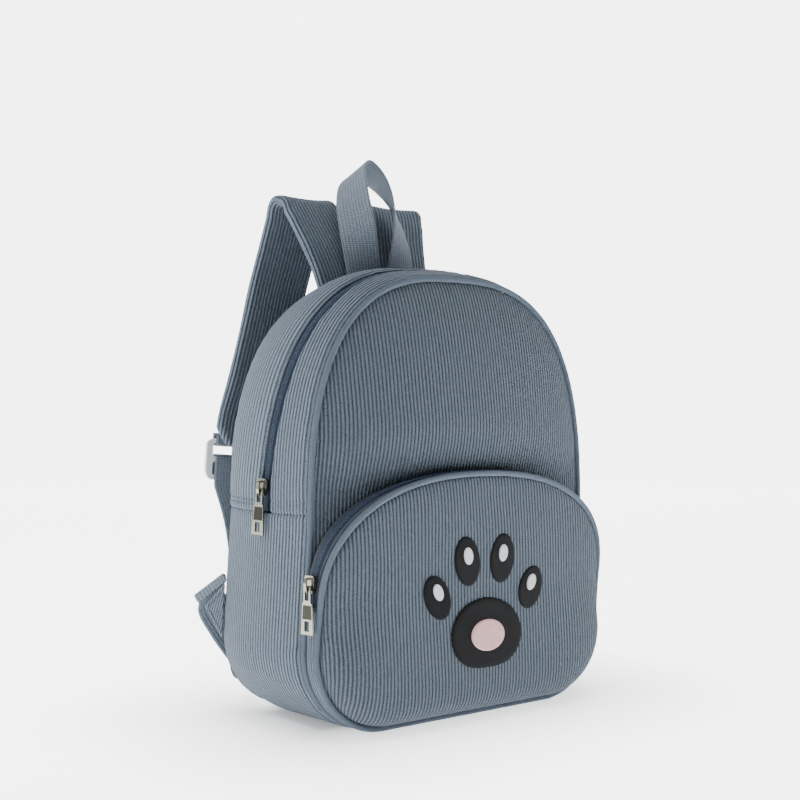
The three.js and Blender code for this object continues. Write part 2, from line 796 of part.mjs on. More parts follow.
function cornerTab(side) {
  const top = tabCorner(tabTopHeight);
  const bottom = tabCorner(tabBottomHeight);
  const normal = top.clone().sub(bottom).cross(tabTip.clone().sub(bottom)).normalize();
  const lift = normal.multiplyScalar(tabThickness / 2);
  const rows = [[top, bottom], [top.clone().lerp(tabTip, tabEndShare), bottom.clone().lerp(tabTip, tabEndShare)]];
  const moved = (sign) => rows.map((row) => row.map((p) => p.clone().addScaledVector(lift, sign)));
  return mirrorTo(shell(moved(1), moved(-1)), side);
}

// The lower webbing leaves the tab, folds over, hangs in a slack loop behind the bag, rises to
// the buckle, goes over its middle bar and ends in a short tail. Columns of the slack part: out
// is a share of the base's half width, back of the loop's reach behind the seam, up of the
// tab tip's height, turn and tilt are in degrees.
const webbingCrest = { turn: 149, tilt: 37 };
const slackRoute = [
  { out: 0.995, back: 0.48, up: 1.04, turn: 175, tilt: 42 },
  { out: 0.912, back: 0.52, up: 0.8, turn: 180, tilt: 38 },
  { out: 0.818, back: 0.55, up: 0.58, turn: 184, tilt: 34 },
  { out: 0.732, back: 0.58, up: 0.4, turn: 184, tilt: 26 },
  { out: 0.69, back: 0.64, up: 0.28, turn: 182, tilt: 14 },
  { out: 0.682, back: 0.76, up: 0.215, turn: 180, tilt: 5 },
  { out: 0.681, back: 0.92, up: 0.25, turn: 180, tilt: 0 },
  { out: 0.677, back: 1, up: 0.38, turn: 180, tilt: 0 },
  { out: 0.673, back: 1, up: 0.748, turn: 180, tilt: 0 },
  { out: 0.677, back: 0.99, up: 1.293, turn: 180, tilt: 0 },
  { out: 0.717, back: 0.99, up: 1.741, turn: 180, tilt: 0 },
];

function lowerWebbing(side) {
  const top = tabCorner(tabTopHeight);
  const bottom = tabCorner(tabBottomHeight);
  const across = acrossFrom(webbingCrest.turn, webbingCrest.tilt);
  const back = tabTip.clone().sub(bottom).cross(top.clone().sub(bottom)).normalize();
  if (back.y < 0) back.negate();
  const out = across.clone().cross(back).normalize();
  if (out.x < 0) out.negate();
  const middle = top.clone().lerp(tabTip, 0.5);
  const leave = middle.clone().addScaledVector(out, webbingLeave);
  const turnAt = leave.clone().addScaledVector(out, 1);
  const turn = steps(6).map((share) => turnAt.clone()
    .addScaledVector(out, webbingTurnRadius * Math.sin(Math.PI * share))
    .addScaledVector(back, webbingTurnRadius * (1 - Math.cos(Math.PI * share))));
  const flip = across.clone();
  const slack = slackRoute.map((row) => vec(
    row.out * baseHalfWidth,
    bagDepth / 2 + row.back * slackReach,
    row.up * tabTipHeight,
  ));
  const slackAcross = slackRoute.map((row) => acrossFrom(row.turn, row.tilt));
  const slotLow = -buckleHeight / 2 - 4;
  const rise = inBuckle(0, slotLow, -legOffset);
  const over = halfTurn(0, 1, 8);
  const tail = inBuckle(0, -webbingTailLength, legOffset);
  const smoothPart = [leave, ...turn, ...slack, rise];
  const flat = buckleAxes.across.clone().negate();
  const smoothAcross = [flip, ...turn.map(() => flip), ...slackAcross, flat];
  const points = [...throughPoints(smoothPart, slackSteps), ...over, tail];
  const crossPoints = acrossAlong(smoothPart, smoothAcross, points.slice(0, slackSteps + 1));
  const crosses = [...crossPoints, ...over.map(() => flat), flat];
  return mirrorTo(band(webbingStations(points, crosses, webbingThickness), flatEdge), side);
}

// Directions for each point, blended from those given at the nearest stations before and after.
function acrossAlong(stations, crosses, points) {
  const lengths = [0];
  for (let i = 1; i < stations.length; i += 1) {
    lengths.push(lengths[i - 1] + stations[i].distanceTo(stations[i - 1]));
  }
  const total = lengths[lengths.length - 1];
  return points.map((unused, i) => {
    const along = (total * i) / (points.length - 1);
    let next = 1;
    while (next < lengths.length - 1 && lengths[next] < along) next += 1;
    const share = (along - lengths[next - 1]) / (lengths[next] - lengths[next - 1]);
    return crosses[next - 1].clone().lerp(crosses[next], clamp(share)).normalize();
  });
}

function toSolid(geometry) {
  const bare = geometry.clone();
  bare.deleteAttribute('normal');
  bare.deleteAttribute('uv');
  const merged = mergeVertices(bare, 1e-4);
  return new wasm.Manifold(new wasm.Mesh({
    numProp: 3,
    vertProperties: new Float32Array(merged.attributes.position.array),
    triVerts: new Uint32Array(merged.index.array),
  }));
}

function fromSolid(solid) {
  const mesh = solid.getMesh();
  const geometry = new THREE.BufferGeometry();
  geometry.setAttribute('position', new THREE.BufferAttribute(new Float32Array(mesh.vertProperties), 3));
  geometry.setIndex(new THREE.BufferAttribute(new Uint32Array(mesh.triVerts), 1));
  geometry.computeVertexNormals();
  return geometry;
}

const pivotRise = sliderPlate + bridgeRise - bridgeBar - pullThickness / 2 - 2 * pivotClearance;
const pivotDrop = bridgeSpan / 2 - bridgeBar - pullBar / 2 - 2 * pivotClearance;

// A zip slider in its own frame: X across the tape, Y up along it, Z out of the cloth.
function slider() {
  const half = sliderLength / 2;
  const shape = new THREE.Shape();
  shape.moveTo(-sliderWidth * 0.3, -half);
  shape.lineTo(sliderWidth * 0.3, -half);
  shape.lineTo(sliderWidth / 2, -half * 0.2);
  shape.lineTo(sliderWidth / 2, half * 0.6);
  shape.quadraticCurveTo(sliderWidth / 2, half, sliderWidth * 0.2, half);
  shape.lineTo(-sliderWidth * 0.2, half);
  shape.quadraticCurveTo(-sliderWidth / 2, half, -sliderWidth / 2, half * 0.6);
  shape.lineTo(-sliderWidth / 2, -half * 0.2);
  const plate = extrudeFlat(shape, sliderPlate, 3).translate(0, 0, sliderPlate / 2);
  const arch = new THREE.Shape();
  const reach = bridgeSpan / 2;
  const root = sliderPlate - 0.4;
  arch.moveTo(-reach, root);
  arch.lineTo(-reach, sliderPlate + bridgeRise * 0.55);
  arch.quadraticCurveTo(-reach, sliderPlate + bridgeRise, -reach * 0.3, sliderPlate + bridgeRise);
  arch.lineTo(reach * 0.3, sliderPlate + bridgeRise);
  arch.quadraticCurveTo(reach, sliderPlate + bridgeRise, reach, sliderPlate + bridgeRise * 0.55);
  arch.lineTo(reach, root);
  const inner = reach - bridgeBar;
  const ceiling = sliderPlate + bridgeRise - bridgeBar;
  arch.lineTo(inner, root);
  arch.lineTo(inner, sliderPlate + bridgeRise * 0.45);
  arch.quadraticCurveTo(inner, ceiling, inner * 0.3, ceiling);
  arch.lineTo(-inner * 0.3, ceiling);
  arch.quadraticCurveTo(-inner, ceiling, -inner, sliderPlate + bridgeRise * 0.45);
  arch.lineTo(-inner, root);
  const bridge = extrudeFlat(arch, bridgeWidth, 3);
  bridge.rotateX(Math.PI / 2).rotateZ(Math.PI / 2);
  return fromSolid(toSolid(plate).add(toSolid(bridge)));
}

// A pull in the slider's frame: its top bar lies in the bridge, its plate hangs down the tape.
function pull() {
  const shape = new THREE.Shape();
  const top = pullBar / 2;
  const neckEnd = top - pullNeckLength;
  const end = top - pullLength;
  shape.moveTo(-pullNeckWidth / 2, top);
  shape.lineTo(-pullNeckWidth / 2, neckEnd);
  shape.lineTo(-pullTopWidth / 2, neckEnd - pullShoulder);
  shape.lineTo(-pullEndWidth / 2, end);
  shape.lineTo(pullEndWidth / 2, end);
  shape.lineTo(pullTopWidth / 2, neckEnd - pullShoulder);
  shape.lineTo(pullNeckWidth / 2, neckEnd);
  shape.lineTo(pullNeckWidth / 2, top);
  const window = (high, low, halfWidth) => {
    const hole = new THREE.Path();
    hole.moveTo(-halfWidth, high);
    hole.lineTo(-halfWidth, low);
    hole.lineTo(halfWidth, low);
    hole.lineTo(halfWidth, high);
    return hole;
  };
  shape.holes.push(window(-pullBar / 2, -pullBar / 2 - pullWindow, pullNeckWidth / 2 - pullBar));
  const windowEnd = end + pullEndBar;
  shape.holes.push(window(windowEnd + pullEndWindow, windowEnd, pullEndWindowWidth / 2));
  return extrudeFlat(shape, pullThickness, 1).translate(0, -pivotDrop, pivotRise);
}

// The frame of a slider on the -X side: X across the zip, Y up along it, Z out of the cloth,
// turned about Y towards the front by some degrees.
function sliderFrame(at, up, turn) {
  const away = vec(-1, 0, 0).addScaledVector(up, up.x).normalize();
  away.applyAxisAngle(up, THREE.MathUtils.degToRad(turn));
  const across = up.clone().cross(away).normalize();
  return new THREE.Matrix4().makeBasis(across, up, away).setPosition(at);
}

function mainSliderFrame() {
  const length = bagOutline.total - bagOutline.lengthAtHeight(mainSliderHeight);
  const place = (shift) => {
    const z = bagOutline.at(length + shift).z;
    return gussetPoint(length + shift, zipLine(z), coilTopInset - sliderLift);
  };
  const up = place(-6).sub(place(6)).normalize();
  return sliderFrame(place(0), up, mainSliderTurn);
}

function pocketSliderFrame() {
  const length = pocketOutline.total - pocketOutline.lengthAtHeight(pocketSliderHeight);
  const place = (shift) => {
    const p = pocketOutline.at(length + shift);
    const rise = bandProud + pocketCoilRise + sliderLift;
    const onPanel = Math.min(frontFace(p.x, p.z), frontSeam - pipingRadius);
    const y = mix(onPanel, pocketEdge(p.z) + pipingRadius, pocketSliderShare);
    return vec(p.x + p.nx * rise, y, p.z + p.nz * rise);
  };
  return sliderFrame(place(0), vec(0, 0, 1), pocketSliderTurn);
}

// A patch of thread on the pocket: an oval in the pocket's face, turned by a lean in degrees.
function stitchPatch(centreX, centreZ, halfWidth, halfHeight, lean, notch, lift) {
  const columns = halfWidth > toeGlint.wide * pawWidth ? patchColumns : patchColumns / 2;
  const turn = THREE.MathUtils.degToRad(lean);
  const rim = (angle) => {
    const dent = 1 - notch * Math.exp(-(((angle + Math.PI / 2) / 0.55) ** 2));
    const x = halfWidth * Math.cos(angle) * dent;
    const z = halfHeight * Math.sin(angle) * dent;
    return [x * Math.cos(turn) - z * Math.sin(turn), x * Math.sin(turn) + z * Math.cos(turn)];
  };
  const positions = [];
  const triangles = [];
  const skin = (above) => {
    const start = positions.length;
    const add = (x, z) => positions.push(vec(x, pocketFace(x, z) - above, z));
    for (const share of [1, 0.5]) {
      for (let column = 0; column < columns; column += 1) {
        const [x, z] = rim(-Math.PI / 2 + (2 * Math.PI * column) / columns);
        add(centreX + share * x, centreZ + share * z);
      }
    }
    add(centreX, centreZ);
    return start;
  };
  const face = skin(lift + stitchHeight);
  const back = skin(lift);
  for (let column = 0; column < columns; column += 1) {
    const next = (column + 1) % columns;
    for (const start of [face, back]) {
      const outer = [start + column, start + next];
      const inner = [start + columns + column, start + columns + next];
      const middle = start + 2 * columns;
      const faces = [[outer[0], outer[1], inner[1]], [outer[0], inner[1], inner[0]], [inner[0], inner[1], middle]];
      for (const triangle of faces) triangles.push(start === face ? triangle : triangle.reverse());
    }
    triangles.push([face + next, face + column, back + column], [face + next, back + column, back + next]);
  }
  return closedGeometry(positions, triangles);
}

// The paw's pads. Columns: across and up are shares of the paw's width from its middle,
// wide and tall are half sizes as shares of it, lean is in degrees.
const pawPads = [
  { name: 'paw_heel_pad', across: 0, up: -0.17, wide: 0.3, tall: 0.235, lean: 0, notch: 0.12 },
  { name: 'paw_toe_outer_left', across: -0.4, up: 0.1, wide: 0.1, tall: 0.145, lean: 24, notch: 0 },
  { name: 'paw_toe_inner_left', across: -0.15, up: 0.31, wide: 0.105, tall: 0.16, lean: 8, notch: 0 },
  { name: 'paw_toe_inner_right', across: 0.15, up: 0.31, wide: 0.105, tall: 0.16, lean: -8, notch: 0 },
  { name: 'paw_toe_outer_right', across: 0.4, up: 0.1, wide: 0.1, tall: 0.145, lean: -24, notch: 0 },
];
const pawHeart = { across: 0, up: -0.17, wide: 0.14, tall: 0.1 };
const toeGlint = { wide: 0.035, tall: 0.055, up: 0.035 };

const clothMaterial = (colour) => new THREE.MeshStandardMaterial({ color: colour, roughness: 0.92, metalness: 0 });
const metalMaterial = () => new THREE.MeshStandardMaterial({ color: metalColour, roughness: 0.28, metalness: 1 });

const group = new THREE.Group();

function add(name, geometry, material, matrix) {
  const mesh = new THREE.Mesh(geometry, material);
  mesh.name = name;
  if (matrix) mesh.applyMatrix4(matrix);
  group.add(mesh);
}

function addBody() {
  add('front_panel', frontPanel(), clothMaterial(clothColour));
  add('back_panel', backPanel(), clothMaterial(clothColour));
  add('gusset_front_strip', frontStrip(), clothMaterial(bandColour));
  add('gusset_back_strip', backStrip(), clothMaterial(bandColour));
  add('gusset_lower', lowerGusset(), clothMaterial(bandColour));
  add('front_piping', pipingRing(pipingOutline, 0, bagColumns, () => frontSeam), clothMaterial(bandColour));
}

function addZips() {
  const mainFrame = mainSliderFrame();
  const pocketFrame = pocketSliderFrame();
  add('main_zipper', mainZipper(), clothMaterial(zipColour));
  add('main_slider', slider(), metalMaterial(), mainFrame);
  add('main_pull', pull(), metalMaterial(), mainFrame);
  add('pocket_zipper', pocketZipper(), clothMaterial(zipColour));
  add('pocket_slider', slider(), metalMaterial(), pocketFrame);
  add('pocket_pull', pull(), metalMaterial(), pocketFrame);
}

function addPocket() {
  add('pocket_panel', pocketPanel(), clothMaterial(clothColour));
  add('pocket_side_strip', pocketSideStrip(), clothMaterial(bandColour));
  add('pocket_piping', pipingRing(pocketOutline, 0, pocketColumns, pocketEdge), clothMaterial(bandColour));
}

function addPaw() {
  const place = (pad) => [pad.across * pawWidth, pawCentreHeight + pad.up * pawWidth];
  for (const pad of pawPads) {
    const [x, z] = place(pad);
    const shape = stitchPatch(x, z, pad.wide * pawWidth, pad.tall * pawWidth, pad.lean, pad.notch, stitchLift);
    add(pad.name, shape, clothMaterial(darkThread));
  }
  const upper = 2 * stitchLift + stitchHeight;
  const [heartX, heartZ] = place(pawHeart);
  const heart = stitchPatch(heartX, heartZ, pawHeart.wide * pawWidth, pawHeart.tall * pawWidth, 0, 0, upper);
  add('paw_heel_centre', heart, clothMaterial(pinkThread));
  for (const pad of pawPads.slice(1)) {
    const [x, z] = place(pad);
    const up = toeGlint.up * pawWidth;
    const glint = stitchPatch(x, z + up, toeGlint.wide * pawWidth, toeGlint.tall * pawWidth, pad.lean, 0, upper);
    add(pad.name.replace('toe', 'toe_centre'), glint, clothMaterial(whiteThread));
  }
}

function addCarrying() {
  add('handle', handle(), clothMaterial(webbingColour));
  for (const [name, side] of [['left', -1], ['right', 1]]) {
    add(`shoulder_strap_${name}`, shoulderStrap(side), clothMaterial(clothColour));
    add(`strap_loop_${name}`, strapLoop(side), clothMaterial(webbingColour));
    add(`buckle_${name}`, buckle(side), metalMaterial());
    add(`lower_webbing_${name}`, lowerWebbing(side), clothMaterial(webbingColour));
    add(`corner_tab_${name}`, cornerTab(side), clothMaterial(clothColour));
  }
}

addBody();
addZips();
addPocket();
addPaw();
addCarrying();

export default group;
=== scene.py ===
import math

import bpy
import numpy as np
from mathutils import Matrix, Vector


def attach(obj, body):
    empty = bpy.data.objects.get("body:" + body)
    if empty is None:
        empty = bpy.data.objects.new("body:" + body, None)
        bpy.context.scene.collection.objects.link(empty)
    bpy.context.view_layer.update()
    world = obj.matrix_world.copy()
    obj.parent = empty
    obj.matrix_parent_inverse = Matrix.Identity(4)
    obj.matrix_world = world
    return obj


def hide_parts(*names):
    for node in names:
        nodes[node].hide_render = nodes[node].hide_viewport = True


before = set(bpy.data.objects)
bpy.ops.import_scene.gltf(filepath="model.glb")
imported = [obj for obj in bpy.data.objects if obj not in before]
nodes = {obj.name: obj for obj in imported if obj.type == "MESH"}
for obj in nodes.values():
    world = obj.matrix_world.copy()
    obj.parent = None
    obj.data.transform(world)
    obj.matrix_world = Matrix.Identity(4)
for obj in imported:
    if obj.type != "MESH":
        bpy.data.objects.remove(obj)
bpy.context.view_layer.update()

MM = 0.001

# The bag's sizes in millimetres, the same as those of its solids.
BAG_HEIGHT = 300
BASE_HALF = 127
SHOULDER_HALF = BASE_HALF - 5
SHOULDER_HEIGHT = 134
ARCH_POWER = 2.72
BOTTOM_CORNER = 55
BAG_DEPTH = 96.6
TOP_LEAN = 7
TOP_LEAN_HEIGHT = 120
GUSSET_BULGE = 9
GUSSET_FADE = 40
GUSSET_WALL = 2.2
JOINT_HEIGHT = 142
FRONT_BULGE = 24
FRONT_POWER = 1.9
FRONT_ROUNDNESS = 1.35
BACK_PADDING = 6
PIPING_RADIUS = 2.1
PIPING_PROUD = 0.5
PIPING_FULLNESS = 0.15
CORD_RADIUS = 1.75
SEAM_GAP = 0.3
ZIP_TOP_SETBACK = 23
ZIP_END_SETBACK = 38
ZIP_SLOPE_HEIGHT = 140
ZIP_SLOT = 10
COIL_WIDTH = 5.4
POCKET_HEIGHT = 166
POCKET_BASE_HALF = BASE_HALF - 2.5
POCKET_SHOULDER_HALF = POCKET_BASE_HALF - 1
POCKET_SHOULDER_HEIGHT = 88
POCKET_POWER = 2.35
POCKET_CORNER = 52
POCKET_SIDE_DEPTH = 12.6
POCKET_TOP_DEPTH = 26
POCKET_BULGE = 4.5
POCKET_LOW_DEPTH = 34
POCKET_LOW_FROM = 95
POCKET_LOW_SPAN = 70
POCKET_POWER_HIGH = 4
POCKET_POWER_LOW = 10
POCKET_ROUNDNESS = 2
POCKET_BAND_WALL = 1.6
POCKET_ZIP_END = 84
POCKET_RELIEF = 15
RELIEF_FROM = 1.5
RELIEF_SPAN = 0.8
RELIEF_MOST = 0.6
BAND_GAP = 1
BAND_PROUD = 0.6
WEBBING = 1.6
HANDLE_WIDTH = 27
HANDLE_SPACING = 30
HANDLE_HEIGHT = 87
HANDLE_SET_IN = 3.2
STRAP_WIDTH = 50
STRAP_THICKNESS = 9
STRAP_END_WIDTH = 30
STRAP_TAPER = 11
STRAP_TURN = 5
STRAP_END_SHARE = 0.8
STRAP_FOLD = 61
STRAP_REACH = 45.5
STRAP_SPREAD = 66
STRAP_DROP = 181
WEBBING_WIDTH = 25
BUCKLE_HEIGHT = 30
BUCKLE_THICKNESS = 2.6
BUCKLE_BAR = 3.4
BUCKLE_OVERLAP = 7
BUCKLE_SHIFT = 6.5
BAR_CLEARANCE = 0.6
LOOP_RISE = 4
LOOP_GAP = 1.4
TAB_TOP = 89
TAB_BOTTOM = 51
TAB_TIP = 73.5
TAB_REACH = 9
TAB_BACK = 10
TAB_THICKNESS = 3
TURN_RADIUS = 4.5
WEBBING_LEAVE = 3
SLACK_REACH = 40
TAIL_LENGTH = 13
PAW_WIDTH = 104
PAW_HEIGHT = 76
STITCH_LIFT = 0.5
STITCH_HEIGHT = 0.8
SLACK_STEPS = 40
STRAP_STEPS = 31
STITCH_ROWS = (4.5, 7.5)
POCKET_COIL_AT = 0.57
POCKET_COIL_SIDE_AT = 0.67
POCKET_STRIP_WIDTH = 8.5

# The darker plate in each pull: its distances from the pull's ends, and its half widths.
PLATE_FROM = 11.8
PLATE_TO = 9.6
PLATE_TOP_HALF = 3.2
PLATE_END_HALF = 3.7

# Pitches in the cloths, in millimetres.
RIB_PITCH = 2.75
KNIT_PITCH = 1.5
WEAVE_PITCH = 0.8
WEBBING_COLUMN = 2.5
WEBBING_THREAD = 1.55
COIL_PITCH = 1.45

FRONT_SEAM = -BAG_DEPTH / 2


def clamp(v):
    return np.clip(v, 0.0, 1.0)


def smooth(v):
    s = clamp(v)
    return s * s * (3 - 2 * s)


def mix(a, b, t):
    return a + (b - a) * t


def unit(v):
    return v / np.maximum(np.linalg.norm(v, axis=-1, keepdims=True), 1e-12)


def run_of(points):
    """The length along the line from its first point to each point."""
    return np.concatenate([[0], np.cumsum(np.linalg.norm(np.diff(points, axis=0), axis=1))])


def read_at(s, along, table):
    """The table's row at length s, where its rows lie at the lengths along."""
    return np.stack([np.interp(s, along, table[:, k]) for k in range(table.shape[1])], -1)


# Outlines in the X-Z plane, seen from the front, by length from the middle of the base.


class Outline:
    def __init__(self, base, shoulder_half, shoulder, top, power, corner, floor, fine=160):
        self.top, self.shoulder = top, shoulder
        self.half, self.power = shoulder_half, power
        a = np.linspace(0, math.pi / 2, fine)
        b = np.linspace(0, math.pi / 2, fine * 3)
        low = np.stack([base - corner * (1 - np.sin(a)), floor + corner * (1 - np.cos(a))], 1)
        arch = np.stack([
            shoulder_half * np.cos(b).clip(0) ** (2 / power),
            shoulder + (top - shoulder) * np.sin(b) ** (2 / power)], 1)
        half = np.concatenate([[[0, floor]], low, arch])
        points = np.concatenate([half, half[:-1][::-1] * [-1, 1]])
        step = np.linalg.norm(np.diff(points, axis=0), axis=1)
        keep = np.concatenate([[True], step > 1e-9])
        self.points = points[keep]
        self.lengths = np.concatenate([[0], np.cumsum(step[step > 1e-9])])
        self.total = self.lengths[-1]

    def place(self, length):
        return read_at(np.mod(length, self.total), self.lengths, self.points)

    def at(self, length):
        here = self.place(length)
        t = self.place(length + 2.5) - self.place(length - 2.5)
        t /= np.linalg.norm(t, axis=-1, keepdims=True)
        return here[..., 0], here[..., 1], t[..., 1], -t[..., 0]

    def length_at(self, height):
        low, high = self.lengths[160], self.total / 2
        for _ in range(50):
            middle = (low + high) / 2
            if self.place(np.array(middle))[1] < height:
                low = middle
            else:
                high = middle
        return low

    def top_at(self, x):
        share = clamp(np.abs(x) / self.half)
        return self.shoulder + (self.top - self.shoulder) * (1 - share ** self.power) ** (1 / self.power)


def loop_of(outline, inset, columns):
    x, z, nx, nz = outline.at(np.linspace(0, outline.total, columns, endpoint=False))
    return np.stack([x - nx * inset, z - nz * inset], -1)


class Share:
    """How far out a point lies: 0 at the centre and 1 on the loop."""

    def __init__(self, outline, inset, centre_z):
        loop = loop_of(outline, inset, 720)
        angle = np.mod(np.arctan2(loop[:, 0], centre_z - loop[:, 1]), 2 * math.pi)
        radius = np.hypot(loop[:, 0], loop[:, 1] - centre_z)
        order = np.argsort(angle)
        self.angle, self.radius, self.centre = angle[order], radius[order], centre_z

    def __call__(self, x, z):
        angle = np.mod(np.arctan2(x, self.centre - z), 2 * math.pi)
        radius = np.interp(angle, self.angle, self.radius, period=2 * math.pi)
        return np.hypot(x, z - self.centre) / radius


def dome(share, power, roundness):
    return (1 - clamp(share) ** power) ** (1 / roundness)


PIPING_INSET = PIPING_RADIUS - PIPING_PROUD
bag = Outline(BASE_HALF, SHOULDER_HALF, SHOULDER_HEIGHT, BAG_HEIGHT, ARCH_POWER, BOTTOM_CORNER, 0)
piping_line = Outline(
    BASE_HALF - PIPING_INSET, SHOULDER_HALF - PIPING_INSET, SHOULDER_HEIGHT,
    BAG_HEIGHT - PIPING_INSET, ARCH_POWER, BOTTOM_CORNER - PIPING_INSET, PIPING_RADIUS + SEAM_GAP)
pocket = Outline(
    POCKET_BASE_HALF, POCKET_SHOULDER_HALF, POCKET_SHOULDER_HEIGHT, POCKET_HEIGHT,
    POCKET_POWER, POCKET_CORNER, PIPING_RADIUS + PIPING_PROUD)
BAG_CENTRE = BAG_HEIGHT / 2
POCKET_CENTRE = POCKET_HEIGHT / 2
PANEL_INSET = PIPING_RADIUS + SEAM_GAP
bag_share = Share(piping_line, PANEL_INSET, BAG_CENTRE)
pocket_share = Share(pocket, PANEL_INSET, POCKET_CENTRE)


def back_seam(z):
    return BAG_DEPTH / 2 - TOP_LEAN * smooth((z - BAG_HEIGHT + TOP_LEAN_HEIGHT) / TOP_LEAN_HEIGHT)


def zip_line(z):
    return FRONT_SEAM + mix(ZIP_TOP_SETBACK, ZIP_END_SETBACK, clamp((BAG_HEIGHT - z) / ZIP_SLOPE_HEIGHT))


def gusset_point(length, y, inset):
    x, z, nx, nz = bag.at(length)
    across = clamp((y - FRONT_SEAM) / (back_seam(z) - FRONT_SEAM))
    bulge = GUSSET_BULGE * 4 * across * (1 - across) * clamp(z / GUSSET_FADE)
    return np.stack([x + nx * (bulge - inset), y + 0 * x, z + nz * (bulge - inset)], -1)


def front_face(x, z):
    relief = POCKET_RELIEF * smooth((RELIEF_FROM - pocket_share(x, z)) / RELIEF_SPAN)
    bulge = FRONT_BULGE * dome(bag_share(x, z), FRONT_POWER, FRONT_ROUNDNESS)
    return FRONT_SEAM - bulge + np.minimum(relief, bulge * RELIEF_MOST)


def pocket_edge(z):
    share = smooth((z - POCKET_CORNER) / (POCKET_HEIGHT - POCKET_CORNER))
    return FRONT_SEAM - mix(POCKET_SIDE_DEPTH, POCKET_TOP_DEPTH, share)


def pocket_face(x, z):
    low = smooth((POCKET_LOW_FROM - z) / POCKET_LOW_SPAN)
    crown = FRONT_SEAM - mix(POCKET_TOP_DEPTH + POCKET_BULGE, POCKET_LOW_DEPTH, low)
    power = mix(POCKET_POWER_HIGH, POCKET_POWER_LOW, low)
    return mix(pocket_edge(z), crown, dome(pocket_share(x, z), power, POCKET_ROUNDNESS))


def waves(points, scale, seed, count=9):
    """Smooth seeded waves, for the small unevenness of sewn cloth."""
    rng = np.random.default_rng(seed)
    total = np.zeros(points.shape[:-1])
    for _ in range(count):
        direction = rng.normal(size=3)
        direction /= np.linalg.norm(direction)
        total += np.sin(points @ direction * (2 * math.pi / (scale * rng.uniform(0.7, 1.6)))
                        + rng.uniform(0, 2 * math.pi))
    return total / math.sqrt(count)


# Mesh building


def make_object(name, vertices, faces, uvs=None, body="bag", shade_smooth=True):
    mesh = bpy.data.meshes.new(name)
    mesh.from_pydata((np.asarray(vertices) * MM).tolist(), [], faces)
    mesh.validate()
    if uvs is not None:
        layer = mesh.uv_layers.new(name="cloth")
        index = np.zeros(len(mesh.loops), int)
        mesh.loops.foreach_get("vertex_index", index)
        layer.data.foreach_set("uv", (np.asarray(uvs)[index] * MM).astype(np.float32).ravel())
    mesh.polygons.foreach_set("use_smooth", [shade_smooth] * len(mesh.polygons))
    obj = bpy.data.objects.new(name, mesh)
    bpy.context.scene.collection.objects.link(obj)
    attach(obj, body)
    return obj


def grid_faces(rows, columns, start=0, wrap=False):
    faces = []
    last = columns if wrap else columns - 1
    for row in range(rows - 1):
        for column in range(last):
            a = start + row * columns + column
            b = start + row * columns + (column + 1) % columns
            faces.append((a, b, b + columns, a + columns))
    return faces


def capped_tube(rings, ring, base, flip=False):
    """The faces of a tube of rings of vertices, with a cap at each end."""
    first = tuple(base + k for k in range(ring))
    last = tuple(v + (rings - 1) * ring for v in first)
    caps = [first, last[::-1]] if flip else [first[::-1], last]
    return grid_faces(rings, ring, base, wrap=True) + caps


def both_sides(faces, count, columns):
    """A round face's faces with those of its back and its rim."""
    faces = faces + [tuple(v + count for v in f[::-1]) for f in faces]
    return faces + [((c + 1) % columns, c, c + count, (c + 1) % columns + count) for c in range(columns)]


def closed_wall(name, face, back, uv):
    """A closed wall between two matching grids, face outside and back inside."""
    rows, columns = face.shape[:2]
    count = rows * columns
    vertices = np.concatenate([face.reshape(-1, 3), back.reshape(-1, 3)])
    uvs = np.concatenate([uv.reshape(-1, 2)] * 2)
    faces = grid_faces(rows, columns)
    faces += [tuple(v + count for v in f[::-1]) for f in grid_faces(rows, columns)]
    edge = [(0, c) for c in range(columns)]
    edge += [(r, columns - 1) for r in range(1, rows)]
    edge += [(rows - 1, c) for c in range(columns - 2, -1, -1)]
    edge += [(r, 0) for r in range(rows - 2, 0, -1)]
    ids = [r * columns + c for r, c in edge]
    for a, b in zip(ids, ids[1:] + ids[:1]):
        faces.append((b, a, a + count, b + count))
    return fix_normals(make_object(name, vertices, faces, uvs))


def fix_normals(obj):
    """Makes a closed piece's faces point out."""
    mesh = obj.data
    mesh.calc_loop_triangles()
    co = np.array([v.co for v in mesh.vertices])
    tri = np.array([t.vertices for t in mesh.loop_triangles])
    volume = np.einsum("ij,ij->i", co[tri[:, 0]], np.cross(co[tri[:, 1]], co[tri[:, 2]])).sum()
    if volume < 0:
        mesh.flip_normals()
    return obj


def sharpen_edges(obj, degrees=45):
    bpy.context.view_layer.objects.active = obj
    obj.select_set(True)
    bpy.ops.object.shade_smooth_by_angle(angle=math.radians(degrees))
    obj.select_set(False)


# Materials


